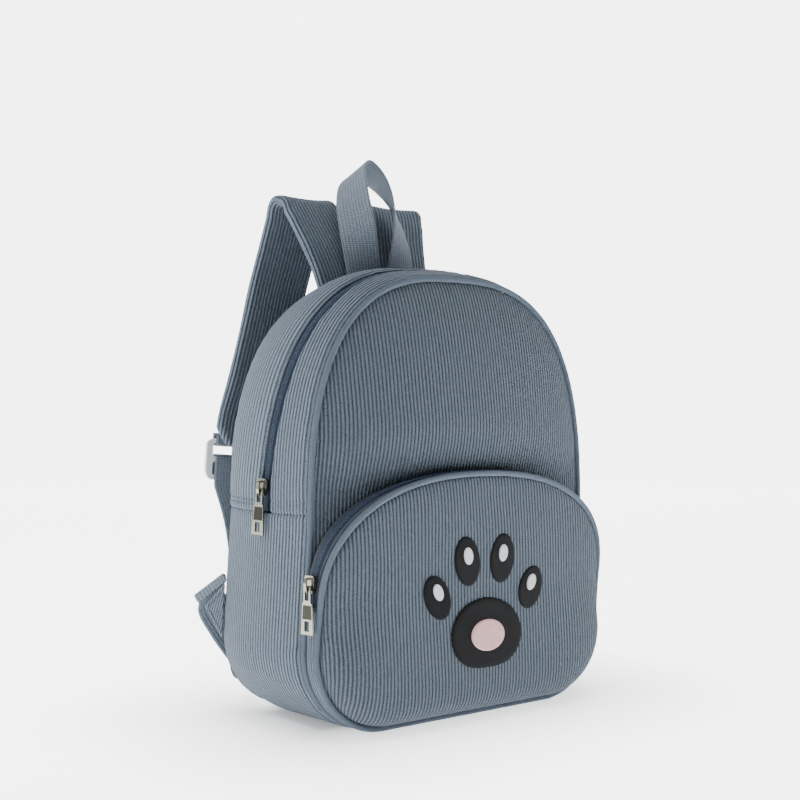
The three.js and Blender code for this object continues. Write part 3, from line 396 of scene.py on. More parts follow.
class Nodes:
    """Short helpers for building a material's nodes."""

    def __init__(self, name):
        self.material = bpy.data.materials.new(name)
        self.material.use_nodes = True
        self.tree = self.material.node_tree
        self.shader = self.tree.nodes["Principled BSDF"]

    def new(self, kind, inputs=None, **settings):
        node = self.tree.nodes.new(kind)
        for key, value in settings.items():
            setattr(node, key, value)
        for key, value in (inputs or {}).items():
            if isinstance(value, bpy.types.NodeSocket):
                self.tree.links.new(value, node.inputs[key])
            else:
                node.inputs[key].default_value = value
        return node

    def math(self, operation, a, b=0.0, c=0.0, use_clamp=False):
        node = self.tree.nodes.new("ShaderNodeMath")
        node.operation = operation
        node.use_clamp = use_clamp
        for socket, value in zip(node.inputs, (a, b, c)):
            if isinstance(value, bpy.types.NodeSocket):
                self.tree.links.new(value, socket)
            else:
                socket.default_value = value
        return node.outputs[0]

    def sine(self, turns):
        return self.math("SINE", self.math("MULTIPLY", turns, 2 * math.pi))

    def blend(self, factor, a, b):
        node = self.tree.nodes.new("ShaderNodeMix")
        node.data_type = "RGBA"
        for socket, value in ((node.inputs[0], factor), (node.inputs[6], a), (node.inputs[7], b)):
            if isinstance(value, bpy.types.NodeSocket):
                self.tree.links.new(value, socket)
            elif isinstance(value, tuple):
                socket.default_value = (*value, 1.0)
            else:
                socket.default_value = value
        return node.outputs[2]

    def noise(self, vector, scale, detail=2.0, roughness=0.5):
        node = self.new("ShaderNodeTexNoise", {
            "Scale": scale, "Detail": detail, "Roughness": roughness})
        self.tree.links.new(vector, node.inputs["Vector"])
        return node.outputs["Fac"]

    def cloth_axes(self):
        uv = self.new("ShaderNodeUVMap", uv_map="cloth").outputs[0]
        split = self.new("ShaderNodeSeparateXYZ", {0: uv})
        return split.outputs[0], split.outputs[1]

    def place(self):
        return self.new("ShaderNodeTexCoord").outputs["Object"]

    def bump(self, height, distance, strength=1.0):
        node = self.new("ShaderNodeBump", {"Strength": strength, "Distance": distance, "Height": height})
        self.tree.links.new(node.outputs[0], self.shader.inputs["Normal"])

    def set(self, **values):
        for key, value in values.items():
            socket = self.shader.inputs[key.replace("_", " ")]
            if isinstance(value, bpy.types.NodeSocket):
                self.tree.links.new(value, socket)
            elif isinstance(value, tuple):
                socket.default_value = (*value, 1.0)
            else:
                socket.default_value = value


def linear(r, g, b):
    """Turns a colour as seen, 0 to 255, into the numbers that materials take."""
    seen = [c / 255 for c in (r, g, b)]
    return tuple(c / 12.92 if c <= 0.04045 else ((c + 0.055) / 1.055) ** 2.4 for c in seen)


def cloth_finish(n, colour, height, distance, roughness=0.9):
    n.set(Base_Color=colour, Roughness=roughness, Sheen_Weight=0.12, Sheen_Roughness=0.45,
          Sheen_Tint=(0.8, 0.88, 1.0), Specular_IOR_Level=0.25)
    n.bump(height, distance)


def rib_cloth(name, ridge, groove_shade, pitch=RIB_PITCH):
    """Ribbed cloth: rounded ridges along V with narrow dark grooves, and fine knitted cross marks. The
    grooves' dark colour is painted shade in the recesses between the ridges.
    """
    n = Nodes(name)
    across, along = n.cloth_axes()
    place = n.place()
    wobble = n.math("MULTIPLY", n.math("SUBTRACT", n.noise(place, 22.0, 2.0), 0.5), 0.0016)
    count = n.math("MULTIPLY", n.math("ADD", across, wobble), 1000 / pitch)
    wave = n.math("COSINE", n.math("MULTIPLY", count, 2 * math.pi))
    profile = n.math("MULTIPLY_ADD", wave, 0.5, 0.5)
    soft = n.math("POWER", profile, 0.8)
    row = n.math("MULTIPLY_ADD", n.math("FLOOR", n.math("ADD", count, 0.5)), 0.37, 0.0)
    knit = n.sine(n.math("MULTIPLY_ADD", along, 1000 / KNIT_PITCH, row))
    fuzz = n.noise(place, 1100.0, 4.0, 0.75)
    patch = n.noise(place, 14.0, 3.0, 0.55)
    mark = n.math("MULTIPLY", knit, n.math("MULTIPLY_ADD", profile, 0.12, 0.04))
    tone = n.math("MULTIPLY_ADD", soft, 0.8, mark)
    tone = n.math("ADD", tone, n.math("MULTIPLY_ADD", fuzz, 1.6, -0.72), use_clamp=True)
    # Painted shade: the colour falls to the groove colour in the recesses between the ridges.
    colour = n.blend(tone, groove_shade, ridge)
    shade = n.math("MULTIPLY_ADD", patch, 0.3, -0.04, use_clamp=True)
    colour = n.blend(shade, colour, tuple(c * 0.6 for c in ridge))
    height = n.math("ADD", soft, n.math("MULTIPLY", knit, 0.08))
    height = n.math("ADD", height, n.math("MULTIPLY", fuzz, 0.3))
    cloth_finish(n, colour, height, 0.0013)
    return n.material


def plain_cloth(name, light, dark):
    """Plain woven cloth, as on the piping and the lips beside the zips."""
    n = Nodes(name)
    place = n.place()
    across, along = n.cloth_axes()
    warp = n.math("SINE", n.math("MULTIPLY", across, 2 * math.pi * 1000 / WEAVE_PITCH))
    weft = n.math("SINE", n.math("MULTIPLY", along, 2 * math.pi * 1000 / WEAVE_PITCH))
    weave = n.math("MULTIPLY_ADD", n.math("MULTIPLY", warp, weft), 0.5, 0.5)
    fuzz = n.noise(place, 700.0, 3.0, 0.65)
    tone = n.math("MULTIPLY_ADD", weave, 0.3, 0.0)
    tone = n.math("MULTIPLY_ADD", fuzz, 0.7, tone, use_clamp=True)
    colour = n.blend(tone, dark, light)
    cloth_finish(n, colour, n.math("ADD", weave, fuzz), 0.00025)
    return n.material


def webbing_cloth(name, light, dark):
    """Webbing: thick cross threads in columns, each column set half a thread off its neighbour. Its colour
    darkens with the threads' height: painted shade in the hollows between threads, with some random tone.
    """
    n = Nodes(name)
    across, along = n.cloth_axes()
    place = n.place()
    column = n.math("MULTIPLY", across, 1000 / WEBBING_COLUMN)
    side = n.math("ABSOLUTE", n.math("SUBTRACT", n.math("FRACT", column), 0.5))
    lean = n.math("MULTIPLY", side, 1.1)
    cross = n.math("MULTIPLY_ADD", along, 1000 / WEBBING_THREAD, lean)
    thread = n.math("MULTIPLY_ADD", n.sine(cross), 0.5, 0.5)
    ridge = n.math("POWER", n.math("MULTIPLY_ADD", side, -1.7, 1.0, use_clamp=True), 0.5)
    height = n.math("MULTIPLY", n.math("MULTIPLY_ADD", thread, 0.65, 0.35), ridge)
    fuzz = n.noise(place, 1000.0, 3.0, 0.7)
    # Painted shade: the low parts between the threads take the dark colour.
    tone = n.math("MULTIPLY_ADD", height, 0.9, -0.1)
    tone = n.math("MULTIPLY_ADD", fuzz, 0.35, tone, use_clamp=True)
    colour = n.blend(tone, dark, light)
    cloth_finish(n, colour, n.math("MULTIPLY_ADD", fuzz, 0.15, height), 0.0006, 0.75)
    return n.material


def thread_cloth(name, light, dark, pitch=0.55, sheen=0.1):
    """Satin stitch: fine parallel threads with a soft gloss."""
    n = Nodes(name)
    across, _ = n.cloth_axes()
    place = n.place()
    wobble = n.math("MULTIPLY", n.noise(place, 180.0, 2.0), 0.0007)
    line = n.math("MULTIPLY", n.math("ADD", across, wobble), 1000 / pitch)
    thread = n.math("MULTIPLY_ADD", n.sine(line), 0.5, 0.5)
    vary = n.noise(place, 260.0, 2.0)
    colour = n.blend(n.math("MULTIPLY_ADD", thread, 0.6, n.math("MULTIPLY", vary, 0.4)), dark, light)
    n.set(Base_Color=colour, Roughness=0.7, Sheen_Weight=sheen, Specular_IOR_Level=0.12)
    n.bump(n.math("MULTIPLY_ADD", vary, 0.5, thread), 0.0003)
    return n.material


def metal(name, colour, roughness=0.24, metallic=1.0):
    n = Nodes(name)
    place = n.place()
    smear = n.noise(place, 260.0, 3.0, 0.6)
    tarnish = n.noise(place, 60.0, 4.0, 0.6)
    n.set(Base_Color=n.blend(n.math("MULTIPLY", tarnish, 0.35), colour, tuple(c * 0.55 for c in colour)),
          Roughness=n.math("MULTIPLY_ADD", smear, 0.22, roughness - 0.08), Metallic=metallic)
    n.bump(smear, 0.00005)
    return n.material


def coil_plastic(name, light, dark):
    n = Nodes(name)
    place = n.place()
    n.set(Base_Color=n.blend(n.noise(place, 500.0, 2.0), dark, light), Roughness=0.55,
          Specular_IOR_Level=0.25)
    n.bump(n.noise(place, 900.0, 2.0), 0.00005)
    return n.material


# Ribbed cloth colours, ridge then groove. The groove colours, here and in the tab and strap cloths below,
# are painted shade in the recesses between the ribs.
RIDGE = linear(90, 103, 116)
GROOVE_SHADE = linear(13, 18, 25)
# The side colours are lighter than the front's: painted light, for the light from the left on the gusset.
# Their groove colour is painted shade as well.
PAINTED_LIT_SIDE_RIDGE = linear(110, 124, 139)
PAINTED_LIT_SIDE_GROOVE_SHADE = linear(16, 22, 31)

panel_cloth = rib_cloth("panel_cloth", RIDGE, GROOVE_SHADE)
band_cloth = rib_cloth("band_cloth", PAINTED_LIT_SIDE_RIDGE, PAINTED_LIT_SIDE_GROOVE_SHADE, 2.55)
back_band_cloth = rib_cloth("back_band_cloth", PAINTED_LIT_SIDE_RIDGE, GROOVE_SHADE, 4.2)
tab_cloth = rib_cloth("tab_cloth", linear(128, 141, 154), linear(74, 85, 98), 1.6)
strap_cloth = rib_cloth("strap_cloth", linear(108, 121, 135), linear(26, 33, 42), 2.95)
piping_cloth = plain_cloth("piping_cloth", linear(92, 104, 117), linear(56, 66, 78))
zip_tape = plain_cloth("zip_tape", linear(48, 58, 71), linear(20, 26, 34))
zip_coil = coil_plastic("zip_coil", linear(66, 84, 108), linear(26, 36, 50))
webbing_weave = webbing_cloth("webbing_weave", linear(132, 144, 156), linear(42, 51, 62))
nickel = metal("nickel", (0.25, 0.245, 0.2), 0.2)
plate_metal = metal("plate_metal", (0.035, 0.036, 0.028), 0.3)
# The buckles get a near-white colour and little metal so that they show bright: a painted highlight
# standing in for the shine of the metal.
buckle_metal = metal("buckle_metal", (0.9, 0.92, 0.93), 0.3, 0.25)
black_thread = thread_cloth("black_thread", linear(20, 21, 24), linear(5, 5, 6), 0.55, 0.02)
white_thread = thread_cloth("white_thread", linear(236, 238, 242), linear(176, 180, 188))
pink_thread = thread_cloth("pink_thread", linear(238, 196, 194), linear(196, 146, 146))
seam_thread = thread_cloth("seam_thread", linear(98, 110, 124), linear(60, 71, 84), 0.3)


def give(obj, material, slot=None):
    obj.data.materials.clear()
    obj.data.materials.append(material)
    return obj


# Sewn threads


def stitches(name, points, normals, spacing=3.0, length=2.2, radius=0.28):
    """A row of short threads laid along a line of points, a little sunk in the cloth."""
    along = run_of(points)
    vertices, faces, uvs = [], [], []
    ring, stations = 6, 5
    for start in np.arange(spacing * 0.3, along[-1] - length, spacing):
        base = len(vertices)
        for i in range(stations):
            share = i / (stations - 1)
            s = start + length * share
            here, normal = read_at(s, along, points), unit(read_at(s, along, normals))
            after, before = min(s + 0.4, along[-1]), max(s - 0.4, 0)
            ahead = unit(read_at(after, along, points) - read_at(before, along, points))
            side = np.cross(ahead, normal)
            lift = math.sin(math.pi * share)
            thick = radius * (0.45 + 0.55 * lift)
            middle = here + normal * (radius * 0.9 * lift - radius * 0.35)
            for k in range(ring):
                angle = 2 * math.pi * k / ring
                vertices.append(middle + side * thick * math.cos(angle) + normal * thick * math.sin(angle))
                uvs.append((s, k * 0.2))
        faces += capped_tube(stations, ring, base)
    return give(make_object(name, vertices, faces, uvs), seam_thread)


# Gusset


def gusset_shell(name, node, lengths, edge_front, edge_back, columns, puffs, material, follow_zip):
    """A strip of gusset as a closed cloth wall, with rounded edges and soft puckers at its seams."""
    rows = len(lengths)
    length = lengths[:, None] * np.ones((1, columns))
    _, z, _, _ = bag.at(length)
    share = np.linspace(0, 1, columns)[None, :] * np.ones((rows, 1))
    front, back = edge_front(z), edge_back(z)
    y = mix(front, back, share)
    width = back - front
    from_edge = np.minimum(share, 1 - share) * width
    rounded = 0.9 * (1 - np.sqrt(1 - (1 - clamp(from_edge / 1.6)) ** 2 + 1e-9))
    place = gusset_point(length, y, 0.0)
    uneven = 0.35 * waves(place, 60, 3) * clamp(from_edge / 8)
    pucker = 0.22 * waves(np.stack([length, 0 * y, 0 * y], -1), 9, 5) * np.exp(-from_edge / 5)
    lift = uneven + pucker - rounded
    for at, depth, reach in puffs:
        lift -= depth * np.exp(-((z - at) / reach) ** 2)
    near_floor = clamp((z - 1.0) / 8)
    face = gusset_point(length, y, -lift * near_floor + 0.05)
    inner = gusset_point(length, mix(front + 0.2, back - 0.2, share), GUSSET_WALL)
    across = y - zip_line(z) if follow_zip else y
    if node == "gusset_lower":
        across = widening(across - front, width)
    obj = closed_wall(name, face, inner, np.stack([across, length], -1))
    sharpen_edges(obj, 60)
    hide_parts(node)
    return give(obj, material, "band_cloth")


def widening(across, width):
    """Ribs a little wider apart towards the back edge."""
    return across - 0.09 * width * smooth(across / width) ** 2


def build_gusset():
    joint = bag.length_at(JOINT_HEIGHT)
    upper = np.linspace(joint + 0.05, bag.total - joint - 0.05, 420)
    lower = np.linspace(-joint + SEAM_GAP, joint - SEAM_GAP, 420)
    front_edge = FRONT_SEAM + PIPING_RADIUS + SEAM_GAP
    half = ZIP_SLOT / 2
    seam = [(JOINT_HEIGHT, 0.9, 1.3)]
    seam += [(JOINT_HEIGHT + rise, 0.35, 1.0) for rise in STITCH_ROWS]
    gusset_shell("gusset_front", "gusset_front_strip", upper, lambda z: front_edge + 0 * z,
                 lambda z: zip_line(z) - half, 22, seam, band_cloth, False)
    gusset_shell("gusset_back", "gusset_back_strip", upper, lambda z: zip_line(z) + half,
                 lambda z: back_seam(z) - SEAM_GAP, 44, seam, back_band_cloth, True)
    gusset_shell("gusset_base", "gusset_lower", lower, lambda z: front_edge + 0 * z,
                 lambda z: back_seam(z) - SEAM_GAP, 60, seam[:1], band_cloth, False)
    side_seams(joint)


def side_seams(joint):
    """Two rows of stitching above the joint on each side, and one row behind the main zip."""
    front_edge = FRONT_SEAM + PIPING_RADIUS + SEAM_GAP
    for side, label in ((1, "right"), (-1, "left")):
        for row, rise in enumerate(STITCH_ROWS):
            height = JOINT_HEIGHT + rise
            length = bag.length_at(height)
            if side < 0:
                length = bag.total - length
            z = np.array(height)
            middle = float(zip_line(z))
            for part, (start, end) in enumerate((
                    (front_edge + 1.5, middle - ZIP_SLOT / 2 - 0.5),
                    (middle + ZIP_SLOT / 2 + 0.5, float(back_seam(z)) - 1.5))):
                y = np.linspace(start, end, 60)
                points = gusset_point(np.full(60, length), y, 0.25)
                deep = gusset_point(np.full(60, length), y, 3.0)
                stitches(f"seam_{label}_{row}_{part}", points, points - deep)
    length = np.linspace(joint, bag.total - joint, 900)
    _, z, _, _ = bag.at(length)
    y = zip_line(z) + ZIP_SLOT / 2 + 2.2
    points = gusset_point(length, y, 0.1)
    stitches("zip_seam", points, points - gusset_point(length, y, 3.0), 3.0, 2.2, 0.22)


# Domed panels


def dome_panel(name, outline, centre_z, inset, face_of, wall, waves_of, rings=64, columns=360):
    """A domed panel of ribbed cloth, as a closed wall on rings of points."""
    loop = loop_of(outline, inset, columns)
    back_loop = loop_of(outline, inset + 0.6, columns)
    shares = 1 - np.linspace(0, 1, rings + 1)[:-1] ** 1.25
    x = shares[:, None] * loop[None, :, 0]
    z = centre_z + shares[:, None] * (loop[None, :, 1] - centre_z)
    y = face_of(x, z, shares[:, None])
    bx = shares[:, None] * back_loop[None, :, 0]
    bz = centre_z + shares[:, None] * (back_loop[None, :, 1] - centre_z)
    by = face_of(bx, bz, shares[:, None]) + wall * clamp((1 - shares[:, None]) / 0.03)
    face = np.stack([x, y, z], -1)
    out = -1.0 if wall > 0 else 1.0
    lift = waves_of(face, shares[:, None])
    face[..., 1] += out * lift
    across = rib_across(face_of, x, z)
    crown_y = face_of(np.array([[0.0]]), np.array([[centre_z]]), np.array([[0.0]])).item()
    centre = np.array([[0.0, crown_y, centre_z]])
    vertices = np.concatenate([
        face.reshape(-1, 3), centre, np.stack([bx, by, bz], -1).reshape(-1, 3), centre + [[0, wall, 0]]])
    flat = np.stack([across, z], -1).reshape(-1, 2)
    uvs = np.concatenate([flat, [[0, centre_z]], flat, [[0, centre_z]]])
    faces = grid_faces(rings, columns, 0, wrap=True)
    middle = rings * columns
    last = (rings - 1) * columns
    faces += [(last + c, last + (c + 1) % columns, middle) for c in range(columns)]
    obj = fix_normals(make_object(name, vertices, both_sides(faces, middle + 1, columns), uvs))
    sharpen_edges(obj, 60)
    return give(obj, panel_cloth, "panel_cloth")


def rib_across(face_of, x, z):
    """The distance over the dome from its middle line, so that ribs keep their pitch where it turns."""
    steps = 60
    total = np.zeros_like(x)
    share = np.zeros_like(x)
    before = np.stack([0 * x, face_of(0 * x, z, share)], -1)
    for i in range(1, steps + 1):
        here_x = x * i / steps
        here = np.stack([here_x, face_of(here_x, z, share)], -1)
        total += np.linalg.norm(here - before, axis=-1)
        before = here
    return total * np.sign(x)


def build_panels():
    def front(x, z, share):
        return np.where(share >= 0.9999, FRONT_SEAM, front_face(x, z))

    def front_waves(face, share):
        edge = clamp((1 - share) / 0.12)
        seam = 0.25 * waves(face, 11, 21) * np.exp(-(1 - share) / 0.03) * clamp((1 - share) / 0.01)
        return 0.5 * waves(face, 85, 11) * edge + seam

    panel = dome_panel("front", piping_line, BAG_CENTRE, PANEL_INSET, front, 2.2, front_waves)
    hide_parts("front_panel")

    def face(x, z, share):
        return np.where(share >= 0.9999, pocket_edge(z), pocket_face(x, z))

    def pocket_waves(points, share):
        edge = clamp((1 - share) / 0.15)
        seam = 0.3 * waves(points, 10, 22) * np.exp(-(1 - share) / 0.04) * clamp((1 - share) / 0.01)
        return 0.35 * waves(points, 70, 12) * edge + seam

    panel = dome_panel("pocket_front", pocket, POCKET_CENTRE, PANEL_INSET, face, 2.2, pocket_waves)
    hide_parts("pocket_panel")

    def back(x, z, share):
        return back_seam(z) + 0.1 + BACK_PADDING * dome(np.clip(share, 0, 1), 12, 1.4)

    def back_waves(points, share):
        return 0.4 * waves(points, 70, 13) * clamp((1 - share) / 0.1)

    panel = dome_panel("back", bag, BAG_CENTRE, SEAM_GAP, back, -4.0, back_waves)
    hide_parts("back_panel")


# Piping


def piping(name, outline, depth_of, node, columns=520, sides=14):
    length = np.linspace(0, outline.total, columns, endpoint=False)
    x, z, nx, nz = outline.at(length)
    y = depth_of(z)
    centre = np.stack([x, y, z], -1)
    ahead = unit(np.roll(centre, -1, 0) - np.roll(centre, 1, 0))
    out = np.stack([nx, 0 * nx, nz], -1)
    side = np.cross(ahead, out)
    rings = []
    for k in range(sides):
        angle = 2 * math.pi * k / sides
        full = mix(CORD_RADIUS, PIPING_RADIUS + PIPING_FULLNESS, (1 - math.cos(angle)) / 2)
        radius = full * (1 + 0.03 * waves(centre, 16, 31))[:, None]
        rings.append(centre + radius * (math.cos(angle) * out + math.sin(angle) * side))
    grid = np.stack(rings, 1)
    uv = np.stack(np.broadcast_arrays(length[:, None], np.arange(sides)[None, :] * 0.9), -1)
    count = columns * sides
    faces = []
    for row in range(columns):
        for k in range(sides):
            a, b = row * sides + k, row * sides + (k + 1) % sides
            ahead_row = ((row + 1) % columns) * sides
            faces.append((a, b, ahead_row + (k + 1) % sides, ahead_row + k))
    obj = fix_normals(make_object(name, grid.reshape(count, 3), faces, uv.reshape(count, 2)))
    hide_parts(node)
    return give(obj, piping_cloth, "piping_cloth")


# Zips


def coil_teeth(name, centres, across, normals, width, rise, pitch):
    """A zip's coil: two rows of small rounded loops that interlock along the middle."""
    along = run_of(centres)
    count = int(along[-1] / pitch)
    vertices, faces, uvs = [], [], []
    rows, ring = 5, 6
    for i in range(count):
        s = (i + 0.5) * pitch
        here, side, normal = (read_at(s, along, table) for table in (centres, across, normals))
        side, normal = unit(side), unit(normal)
        ahead = np.cross(side, normal)
        for sign in (1, -1):
            base = len(vertices)
            shift = ahead * (pitch * 0.25 * sign)
            for r in range(rows):
                share = r / (rows - 1)
                reach = mix(-0.12, 0.5, share) * width * sign
                swell = math.sin(math.pi * (0.12 + 0.76 * share))
                middle = here + shift + side * reach + normal * rise * (0.1 + 0.5 * swell)
                for k in range(ring):
                    angle = 2 * math.pi * k / ring
                    offset = ahead * math.cos(angle) * pitch * 0.22 + normal * math.sin(angle) * rise * 0.36
                    vertices.append(middle + offset * (0.55 + 0.45 * swell))
                    uvs.append((s, reach))
            faces += capped_tube(rows, ring, base, flip=True)
    return give(make_object(name, vertices, faces, uvs), zip_coil, "zip_tape")


def build_main_zip():
    joint = bag.length_at(JOINT_HEIGHT)
    length = np.linspace(joint + 0.2, bag.total - joint - 0.2, 600)
    _, z, _, _ = bag.at(length)
    tape = GUSSET_WALL + 0.6
    offsets = np.array([-7, -4.9, -4.2, -3.2, -2.5, 0, 2.5, 3.2, 4.2, 4.9, 7])
    depths = np.array([0, 0, -0.5, -0.6, -0.1, 0, -0.1, -0.6, -0.5, 0, 0]) + tape
    count = len(offsets)
    grid_length = length[:, None] * np.ones((1, count))
    y = zip_line(z)[:, None] + offsets[None, :]
    face = gusset_point(grid_length, y, depths[None, :] * np.ones_like(y))
    back = gusset_point(grid_length, y, tape + 1.0 + 0 * y)
    uv = np.stack([y - zip_line(z)[:, None], grid_length], -1)
    obj = give(closed_wall("main_zip_tape", face, back, uv), zip_tape, "zip_tape")
    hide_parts("main_zipper")
    centres = gusset_point(length, zip_line(z), tape)
    ahead_side = gusset_point(length, zip_line(z) + 1, tape) - centres
    normal = centres - gusset_point(length, zip_line(z), tape + 2)
    coil_teeth("main_zip_coil", centres, ahead_side, normal, COIL_WIDTH, 1.8, COIL_PITCH)


def band_point(length, part, offset):
    x, z, nx, nz = pocket.at(length)
    px = x + nx * offset
    pz = np.maximum(z + nz * offset, SEAM_GAP)
    rear = np.minimum(front_face(px, pz), FRONT_SEAM - PIPING_RADIUS) - BAND_GAP
    fore = np.minimum(pocket_edge(z) + PIPING_RADIUS + SEAM_GAP, rear - 0.6)
    return np.stack([px, mix(rear, fore, part), pz], -1)


def pocket_band(name, length, parts, lifts, material, slot, width=None):
    """A stretch of the band round the pocket; parts run from its rear edge to its fore edge."""
    grid_length = length[:, None] * np.ones((1, len(parts)))
    part = parts[None, :] * np.ones_like(grid_length)
    face = band_point(grid_length, part, BAND_PROUD + lifts[None, :])
    back = band_point(grid_length, part, BAND_PROUD - POCKET_BAND_WALL)
    if width is None:
        width = np.linalg.norm(face[:, -1] - face[:, 0], axis=-1)[:, None]
    uv = np.stack([part * width, grid_length], -1)
    return give(closed_wall(name, face, back, uv), material, slot)


def build_pocket_zip():
    end = pocket.length_at(POCKET_ZIP_END)
    length = np.linspace(end, pocket.total - end, 460)
    parts = np.array([0, 0.12, 0.26, 0.34, 0.5, 0.8, 0.9, 1.0])
    lifts = np.array([0, 0.5, 0.5, 0.05, 0.0, 0.05, 0.35, 0.4])
    obj = pocket_band("pocket_zip_tape", length, parts, lifts, zip_tape, "zip_tape")
    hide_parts("pocket_zipper")
    centres = band_point(length, POCKET_COIL_AT + 0 * length, BAND_PROUD)
    side = band_point(length, POCKET_COIL_SIDE_AT + 0 * length, BAND_PROUD) - centres
    normal = band_point(length, POCKET_COIL_AT + 0 * length, BAND_PROUD + 2) - centres
    coil_teeth("pocket_zip_coil", centres, side, normal, COIL_WIDTH, 1.5, COIL_PITCH)
    low = np.linspace(-end + SEAM_GAP, end - SEAM_GAP, 420)
    parts = np.linspace(0, 1, 9)
    swell = 0.5 * np.sin(math.pi * parts)
    obj = pocket_band("pocket_strip", low, parts, swell, band_cloth, "band_cloth", POCKET_STRIP_WIDTH)
    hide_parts("pocket_side_strip")


# Ribbons: webbing and padded straps


def centripetal(points, count):
    """A smooth line through the points, at evenly spaced lengths."""
    p = np.asarray(points, float)
    p = np.concatenate([[2 * p[0] - p[1]], p, [2 * p[-1] - p[-2]]])
    out = []
    for i in range(1, len(p) - 2):
        a, b, c, d = p[i - 1:i + 3]
        t1 = max(np.linalg.norm(b - a), 1e-9) ** 0.5
        t2 = t1 + max(np.linalg.norm(c - b), 1e-9) ** 0.5
        t3 = t2 + max(np.linalg.norm(d - c), 1e-9) ** 0.5
        for t in np.linspace(t1, t2, 40, endpoint=False):
            a1 = (t1 - t) / t1 * a + t / t1 * b
            a2 = (t2 - t) / (t2 - t1) * b + (t - t1) / (t2 - t1) * c
            a3 = (t3 - t) / (t3 - t2) * c + (t - t2) / (t3 - t2) * d
            b1 = (t2 - t) / t2 * a1 + t / t2 * a2
            b2 = (t3 - t) / (t3 - t1) * a2 + (t - t1) / (t3 - t1) * a3
            out.append((t2 - t) / (t2 - t1) * b1 + (t - t1) / (t2 - t1) * b2)
    out.append(p[-2])
    out = np.array(out)
    along = run_of(out)
    return read_at(np.linspace(0, along[-1], count), along, out)


def across_from(turn, tilt):
    a, b = math.radians(turn), math.radians(tilt)
    return np.array([math.cos(a) * math.cos(b), -math.sin(a) * math.cos(b), math.sin(b)])


def ribbon(name, middles, crosses, half_width, half_thick, columns, material, slot, node,
           edge=0.5, settle=None, crown=None):
    """A flat band with rounded edges that follows middles, with crosses its direction across."""
    ahead = unit(np.gradient(middles, axis=0))
    cross = unit(crosses)
    normal = unit(np.cross(ahead, cross))
    rows = len(middles)
    half_width = np.broadcast_to(half_width, (rows,))
    half_thick = np.broadcast_to(half_thick, (rows,))
    t = np.linspace(-1, 1, columns)
    t = np.sign(t) * (1 - (1 - np.abs(t)) ** 1.4)
    side = t[None, :] * half_width[:, None]
    from_edge = half_width[:, None] - np.abs(side)
    round_over = np.sqrt(1 - (1 - clamp(from_edge / edge)) ** 2 + 1e-9)
    thick = half_thick[:, None] * (0.25 + 0.75 * round_over)
    lift = 0 if crown is None else crown(middles, side, half_width[:, None])
    base = middles[:, None, :] + side[..., None] * cross[:, None, :]
    face = base + (thick + lift)[..., None] * normal[:, None, :]
    back = base - (thick + lift)[..., None] * normal[:, None, :]
    if settle is not None:
        face, back = settle(face), settle(back)
    step = np.linalg.norm(np.diff(face, axis=1), axis=-1)
    over = np.concatenate([np.zeros((rows, 1)), np.cumsum(step, axis=1)], axis=1)
    over -= over[:, -1:] / 2
    uv = np.stack(np.broadcast_arrays(over, run_of(middles)[:, None]), -1)
    obj = closed_wall(name, face, back, uv)
    sharpen_edges(obj, 70)
    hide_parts(node)
    return give(obj, material, slot)


# The handle's middle line as shares of its spacing, height and width, with the webbing's turns in
# degrees. Columns: across, rise, back, turn, tilt.
HANDLE_SHAPE = [
    (-0.5, 0, 0, 0, 0), (-0.53, 0.18, 0.01, 8, 0), (-0.61, 0.46, 0.1, 29, 2),
    (-0.62, 0.74, 0.33, 55, 10), (-0.45, 0.93, 0.56, 73, 20), (-0.1, 1, 0.7, 85, 24),
    (0.28, 0.93, 0.62, 100, 18), (0.56, 0.77, 0.4, 122, 8), (0.69, 0.5, 0.13, 156, 2),
    (0.67, 0.2, 0.02, 180, 0), (0.62, 0, 0, 184, 0)]


def build_handle():
    seat = float(back_seam(np.array(BAG_HEIGHT))) - HANDLE_SET_IN
    foot = gusset_point(np.array([bag.total / 2]), np.array([seat - WEBBING / 2]), 0.0)[0, 2] + SEAM_GAP
    middles = centripetal([(row[0] * HANDLE_SPACING, seat + row[2] * HANDLE_WIDTH,
                            foot + row[1] * HANDLE_HEIGHT) for row in HANDLE_SHAPE], 260)
    crosses = centripetal([across_from(row[3], row[4]) for row in HANDLE_SHAPE], 260)
    ribbon("handle_webbing", middles, crosses, HANDLE_WIDTH / 2, WEBBING / 2, 30,
           webbing_weave, "webbing", "handle", 1.2)


# The strap's middle line up to its fold and down from it, as shares of the strap's sizes.
# Columns: spread, reach, rise or fall.
STRAP_RISE = [(0, 0, 0), (0.03, 0.08, 0.19), (0.12, 0.32, 0.6), (0.19, 0.49, 0.86),
              (0.225, 0.62, 0.985), (0.245, 0.72, 1), (0.265, 0.82, 0.975)]
STRAP_FALL = [(0.285, 0.9, 0.085), (0.35, 0.96, 0.2), (0.47, 1, 0.37), (0.6, 0.99, 0.56),
              (0.79, 0.93, 0.78), (0.94, 0.84, 0.925), (0.98, 0.81, 1)]


def strap_line(count):
    base = float(back_seam(np.array(BAG_HEIGHT))) + STRAP_THICKNESS / 2 + SEAM_GAP
    start = STRAP_WIDTH / 2 + SEAM_GAP
    rows = [(start + a * STRAP_SPREAD, base + b * STRAP_REACH, BAG_HEIGHT + c * STRAP_FOLD)
            for a, b, c in STRAP_RISE]
    rows += [(start + a * STRAP_SPREAD, base + b * STRAP_REACH, BAG_HEIGHT + STRAP_FOLD - c * STRAP_DROP)
             for a, b, c in STRAP_FALL]
    return centripetal(rows, count)


